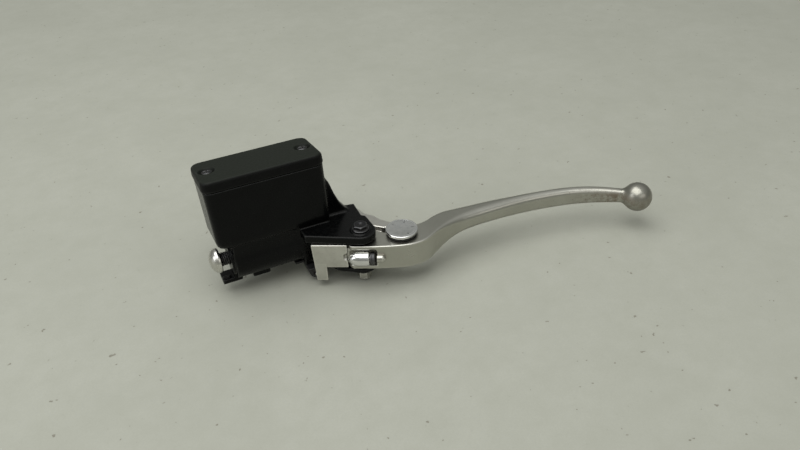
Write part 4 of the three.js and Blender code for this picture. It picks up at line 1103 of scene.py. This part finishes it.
V, Q = skin(circlip_field, (-16.8, CYL_Y - 9.3, -9.3), (-15.4, CYL_Y + 9.3, 9.3), 0.2)
solid("circlip", V, Q)
boot = [(-15.3, 4.5), (-15.3, 8.9), (-14.9, 9.0), (-13.3, 9.0), (-13.0, 8.7), (-12.6, 6.4), (-12.2, 6.3), (-11.2, 7.9), (-10.8, 8.0), (-10.4, 7.9), (-9.3, 6.1), (-8.9, 6.05), (-7.6, 7.3), (-7.2, 7.4),
        (-6.8, 7.25), (-5.6, 5.7), (-5.2, 5.65), (-4.0, 6.5), (-3.6, 6.6), (-3.2, 6.5), (-1.9, 5.7), (-1.6, 5.5), (-1.6, 4.5), (-2.0, 4.4), (-3.3, 5.2), (-3.7, 5.2), (-5.0, 4.5), (-5.6, 4.5), (-7.0, 6.0),
        (-7.4, 6.0), (-8.8, 4.7), (-9.3, 4.7), (-10.6, 6.6), (-11.0, 6.6), (-12.3, 4.9), (-13.0, 4.5), (-15.3, 4.5)]
V, F = on(boot, 0.3, 84)
ob = solid("dust_boot", V, F)
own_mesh(ob)

# ------------------------------------------------------------------ sight glass on the rider's side
c, s = math.cos(TIL), math.sin(TIL)
o3 = np.array(lean_point(-12, 0, 20))
ax3 = (0, c, -s)
V, F = lathe([(34.6, 0), (34.6, 6.0), (37.2, 6.0), (37.5, 5.6), (37.5, 0)], o3, ax3, 72, 0.15)
solid("sight_glass", V, F)
V, F = lathe([(37.9, 3.9), (37.9, 7.6), (38.9, 7.4), (39.3, 6.8), (39.3, 4.3), (39.0, 3.9), (37.9, 3.9)], o3, ax3, 72, 0.12)
solid("sight_glass_ring", V, F)

# ------------------------------------------------------------------ brake-light switch
sw_o = Outline(rounded([(-32.6, -13.1), (-32.4, -16.4), (-31.2, -19.2), (-29.8, -20.4), (-23.8, -20.4), (-23, -19.6), (-23, -13.1)], 0.6), s=0.12)
sw_f = slab_y(sw_o, 11.9, 27.6, 0.5)
swl_f = box((-37.4, 25, -16.4), (-30, 34.4, -14.8), 0.3)
sw_ribs = [box((-31.0, 13.4 + 2.2 * k, -20.75), (-24.4, 14.2 + 2.2 * k, -19.9), 0.15) for k in range(3)]


def switch_field(x, y, z):
    d = smin(sw_f(x, y, z), swl_f(x, y, z), 0.6)
    for g in sw_ribs:
        d = smax(d, -g(x, y, z), 0.2)
    d = smax(d, -(np.maximum(np.hypot(x - SWX, z - SWZ) - 1.9, y - 22.2)), 0.2)
    d = smax(d, -(np.hypot(x - SSX, y - SSY) - 1.7), 0.2)
    seam = np.maximum(np.abs(y - 24.3) - 0.18, -sw_f(x, y, z) - 0.25)
    return smax(d, -seam, 0.1)


V, Q = skin(switch_field, (-37.6, 11.7, -20.6), (-22.8, 34.6, -12.9), 0.26)
solid("switch_housing", V, Q)
V, F = lathe([(9.9, 0), (9.9, 1.0), (10.4, 1.5), (17.4, 1.5), (17.4, 0)], (SWX, 0, SWZ), (0, 1, 0), 48, 0.2)
solid("switch_plunger", V, F)
V, F = coil(1.1, 0.2, 18.0, 21.6, 4.5, (SWX, 0, SWZ), (0, 1, 0), ends=0.8, steps=24, sides=8)
solid("switch_spring", V, F)


def sscrew_field(x, y, z):
    u, v = x - SSX, y - SSY
    rad = np.hypot(u, v)
    dome = np.sqrt(rad ** 2 + (z + 15.4) ** 2) - 3.5
    head = smax(both(rad - 2.5, np.abs(z + 17.8) - 1.1, 0.25), dome, 0.3)
    ph = z / 0.7 - np.arctan2(v, u) / (2 * math.pi)
    sh = both(rad - (1.4 - 0.2 * np.abs(ph - np.round(ph)) * 2), np.abs(z + 14.0) - 3.0, 0.1) * 0.8
    w = -z
    a = np.maximum(np.abs(u) - 1.6, np.abs(v) - 0.32)
    b = np.maximum(np.abs(u) - 0.32, np.abs(v) - 1.6)
    cr = np.maximum(np.minimum(a, b), 18.0 - w + np.maximum(np.abs(u), np.abs(v)) * 0.5 - 0.16)
    return smax(np.minimum(head, sh), -cr, 0.08)


V, Q = skin(sscrew_field, (SSX - 2.6, SSY - 2.6, -19), (SSX + 2.6, SSY + 2.6, -10.9), 0.13)
solid("switch_screw", V, Q)
for nm, x0, x1 in (("switch_terminal_front", -30.8, -28), ("switch_terminal_rear", -26.6, -23.8)):
    tab = box((x0, 27.9, -17.9), (x1, 31.4, -17.1), 0.12)
    xm = (x0 + x1) / 2
    V, Q = skin(lambda x, y, z: smax(tab(x, y, z), 0.55 - np.hypot(x - xm, y - 30.0), 0.1), (x0, 27.8, -18), (x1, 31.5, -17), 0.12)
    solid(nm, V, Q)

# ------------------------------------------------------------------ clamp cap, bolts and washers
cap_o = Outline(rounded([(64.6, -23.5), (64.6, 23.5), (73, 23.5), (73, 14.5)] + arc(BAR_Y, 0, 17.2, 57, -57, 40) + [(73, -14.5), (73, -23.5)], 1.2), s=0.2)
cap_f = slab_x(cap_o, -56, -32, 0.8)


def clamp_field(x, y, z):
    d = smax(cap_f(x, y, z), -barh_f(x, y, z), 0.4)
    for sg in (-1, 1):
        d = smax(d, -(np.hypot(x + 44, z - sg * 17.5) - 3.4), 0.3)
        d = smax(d, -both(np.hypot(x + 44, z - sg * 18.5) - 7.2, 73 - y, 0.3), 0.6)
    return d


V, Q = skin(clamp_field, (-56.2, 64.3, -23.7), (-31.8, 81.5, 23.7), 0.42)
solid("clamp_cap", V, Q)
for nm, sg in (("upper", 1), ("lower", -1)):
    at = (-44, 0, sg * 17.5)
    V, F = lathe([(73.3, 3.3), (73.3, 5.7), (74.5, 5.7), (74.5, 3.3), (73.3, 3.3)], at, (0, 1, 0), 64, 0.15)
    solid(f"clamp_washer_{nm}", V, F)

    def f(x, y, z, zc=sg * 17.5):
        u, v = x + 44, z - zc
        rad = np.hypot(u, v)
        head = both(rad - 5.2, np.abs(y - 77.8) - 3.0, 0.5)
        # knurled edge of a socket head
        head = head + 0.09 * np.sign(np.sin(np.arctan2(v, u) * 30)) * (np.abs(y - 77.6) < 2.2) * (rad > 4.9)
        sock = np.maximum(hexd(u, v, 5.0, 0.0), 77.6 - y)
        head = smax(head, -sock, 0.15)
        ph = y / 1.0 - np.arctan2(v, u) / (2 * math.pi)
        sh = both(rad - (2.95 - 0.5 * np.abs(ph - np.round(ph)) * 2 * (y < 66)), np.abs(y - 65.4) - 10.4, 0.35) * 0.8
        return smin(head, sh, 0.15)
    V, Q = skin(f, (-49.4, 54.8, at[2] - 5.4), (-38.6, 80.9, at[2] + 5.4), 0.22)
    solid(f"clamp_bolt_{nm}", V, Q)

# ------------------------------------------------------------------ pieces kept as modelled, with finer finishes
for node in ("diaphragm", "diaphragm_plate", "port_baffle"):
    o = frame["nodes"][node]
    o.data.materials.clear()
    o.data.materials.append(MATS[SLOT_OF[node]])
    o.data.polygons.foreach_set("use_smooth", [False] * len(o.data.polygons))

# ------------------------------------------------------------------ floor, light and camera
FLOOR_Z = CAD_BOX[0][2]
n = Nodes("floor")
m1, m2 = n.noise(9, 5, 0.6), n.noise(900, 3, 0.7)
m3 = n.noise(60, 5, 0.7)
col = n.mix(n.ramp(m1, 0.3, 0.72), (0.430, 0.436, 0.384), (0.385, 0.392, 0.341))
col = n.mix(n.ramp(m3, 0.35, 0.72, 0, 0.45), col, (0.35, 0.355, 0.30))
col = n.mix(n.ramp(m2, 0.4, 0.75, 0, 0.35), col, (0.36, 0.365, 0.315))
speck = n.ramp(n.noise(240, 2, 0.5), 0.735, 0.76)
col = n.mix(n.math("MULTIPLY", speck, 0.6), col, (0.13, 0.11, 0.08))
n.set(Base_Color=col, Roughness=n.ramp(m2, 0.3, 0.7, 0.62, 0.8))
n.bump((m2, 0.00008, 0.5))
me = bpy.data.meshes.new("floor")
R = 3.0
me.from_pydata([(-R, -R, FLOOR_Z), (R, -R, FLOOR_Z), (R, R, FLOOR_Z), (-R, R, FLOOR_Z)], [], [(0, 1, 2, 3)])
fl = bpy.data.objects.new("floor", me)
bpy.context.scene.collection.objects.link(fl)
me.materials.append(n.m)

world = bpy.data.worlds.new("studio")
bpy.context.scene.world = world
world.use_nodes = True
wt = world.node_tree
bg = wt.nodes["Background"]
tc = wt.nodes.new("ShaderNodeTexCoord")
sep = wt.nodes.new("ShaderNodeSeparateXYZ")
wt.links.new(tc.outputs["Generated"], sep.inputs[0])
mr = wt.nodes.new("ShaderNodeMapRange")
wt.links.new(sep.outputs[2], mr.inputs[0])
for i, v in enumerate((0.35, 1.0, 0.0, 1.0)):
    mr.inputs[1 + i].default_value = v
mx = wt.nodes.new("ShaderNodeMix")
mx.data_type = "RGBA"
wt.links.new(mr.outputs[0], mx.inputs[0])
mx.inputs[6].default_value = (0.42, 0.43, 0.39, 1)
mx.inputs[7].default_value = (0.95, 0.97, 0.95, 1)
wt.links.new(mx.outputs[2], bg.inputs[0])
bg.inputs[1].default_value = 0.56


def lamp(name, pos, aim, size, power, color=(1, 1, 1)):
    L = bpy.data.lights.new(name, "AREA")
    L.shape, L.size, L.size_y, L.energy, L.color = "RECTANGLE", size[0], size[1], power, color
    o = bpy.data.objects.new(name, L)
    bpy.context.scene.collection.objects.link(o)
    o.location = pos
    o.rotation_euler = (Vector(aim) - Vector(pos)).to_track_quat("-Z", "Y").to_euler()
    return o


lamp("key", (-0.25, -0.10, 1.45), (0.05, -0.05, 0), (1.9, 1.5), 19.0, (1.0, 1.0, 0.97))
lamp("left", (-1.2, -0.1, 0.55), (0, 0, 0), (0.5, 0.8), 3.0, (0.96, 0.98, 1.0))
lamp("front", (0.3, -1.3, 0.75), (0.05, 0, 0), (1.2, 0.5), 1.6, (1.0, 0.97, 0.92))

cam = bpy.data.cameras.new("camera")
cam.lens, cam.sensor_width = 33.75, 36.0
cam.clip_start, cam.clip_end = 0.01, 20
co = bpy.data.objects.new("camera", cam)
bpy.context.scene.collection.objects.link(co)
right, up, back = Vector((0.907, -0.4186, -0.0451)), Vector((0.2741, 0.5058, 0.8179)), Vector((-0.3195, -0.7543, 0.5736))
M = Matrix.Identity(4)
for i in range(3):
    M[i][0], M[i][1], M[i][2] = right[i], up[i], back[i]
M.translation = Vector((-0.0802, -0.4195, 0.2794))
q = M.to_quaternion()
co.rotation_mode = "QUATERNION"
co.rotation_quaternion = q
co.location = M.translation
bpy.context.scene.camera = co
bpy.context.scene.view_settings.view_transform = "Standard"
bpy.context.scene.view_settings.look = "None"

bpy.context.view_layer.update()
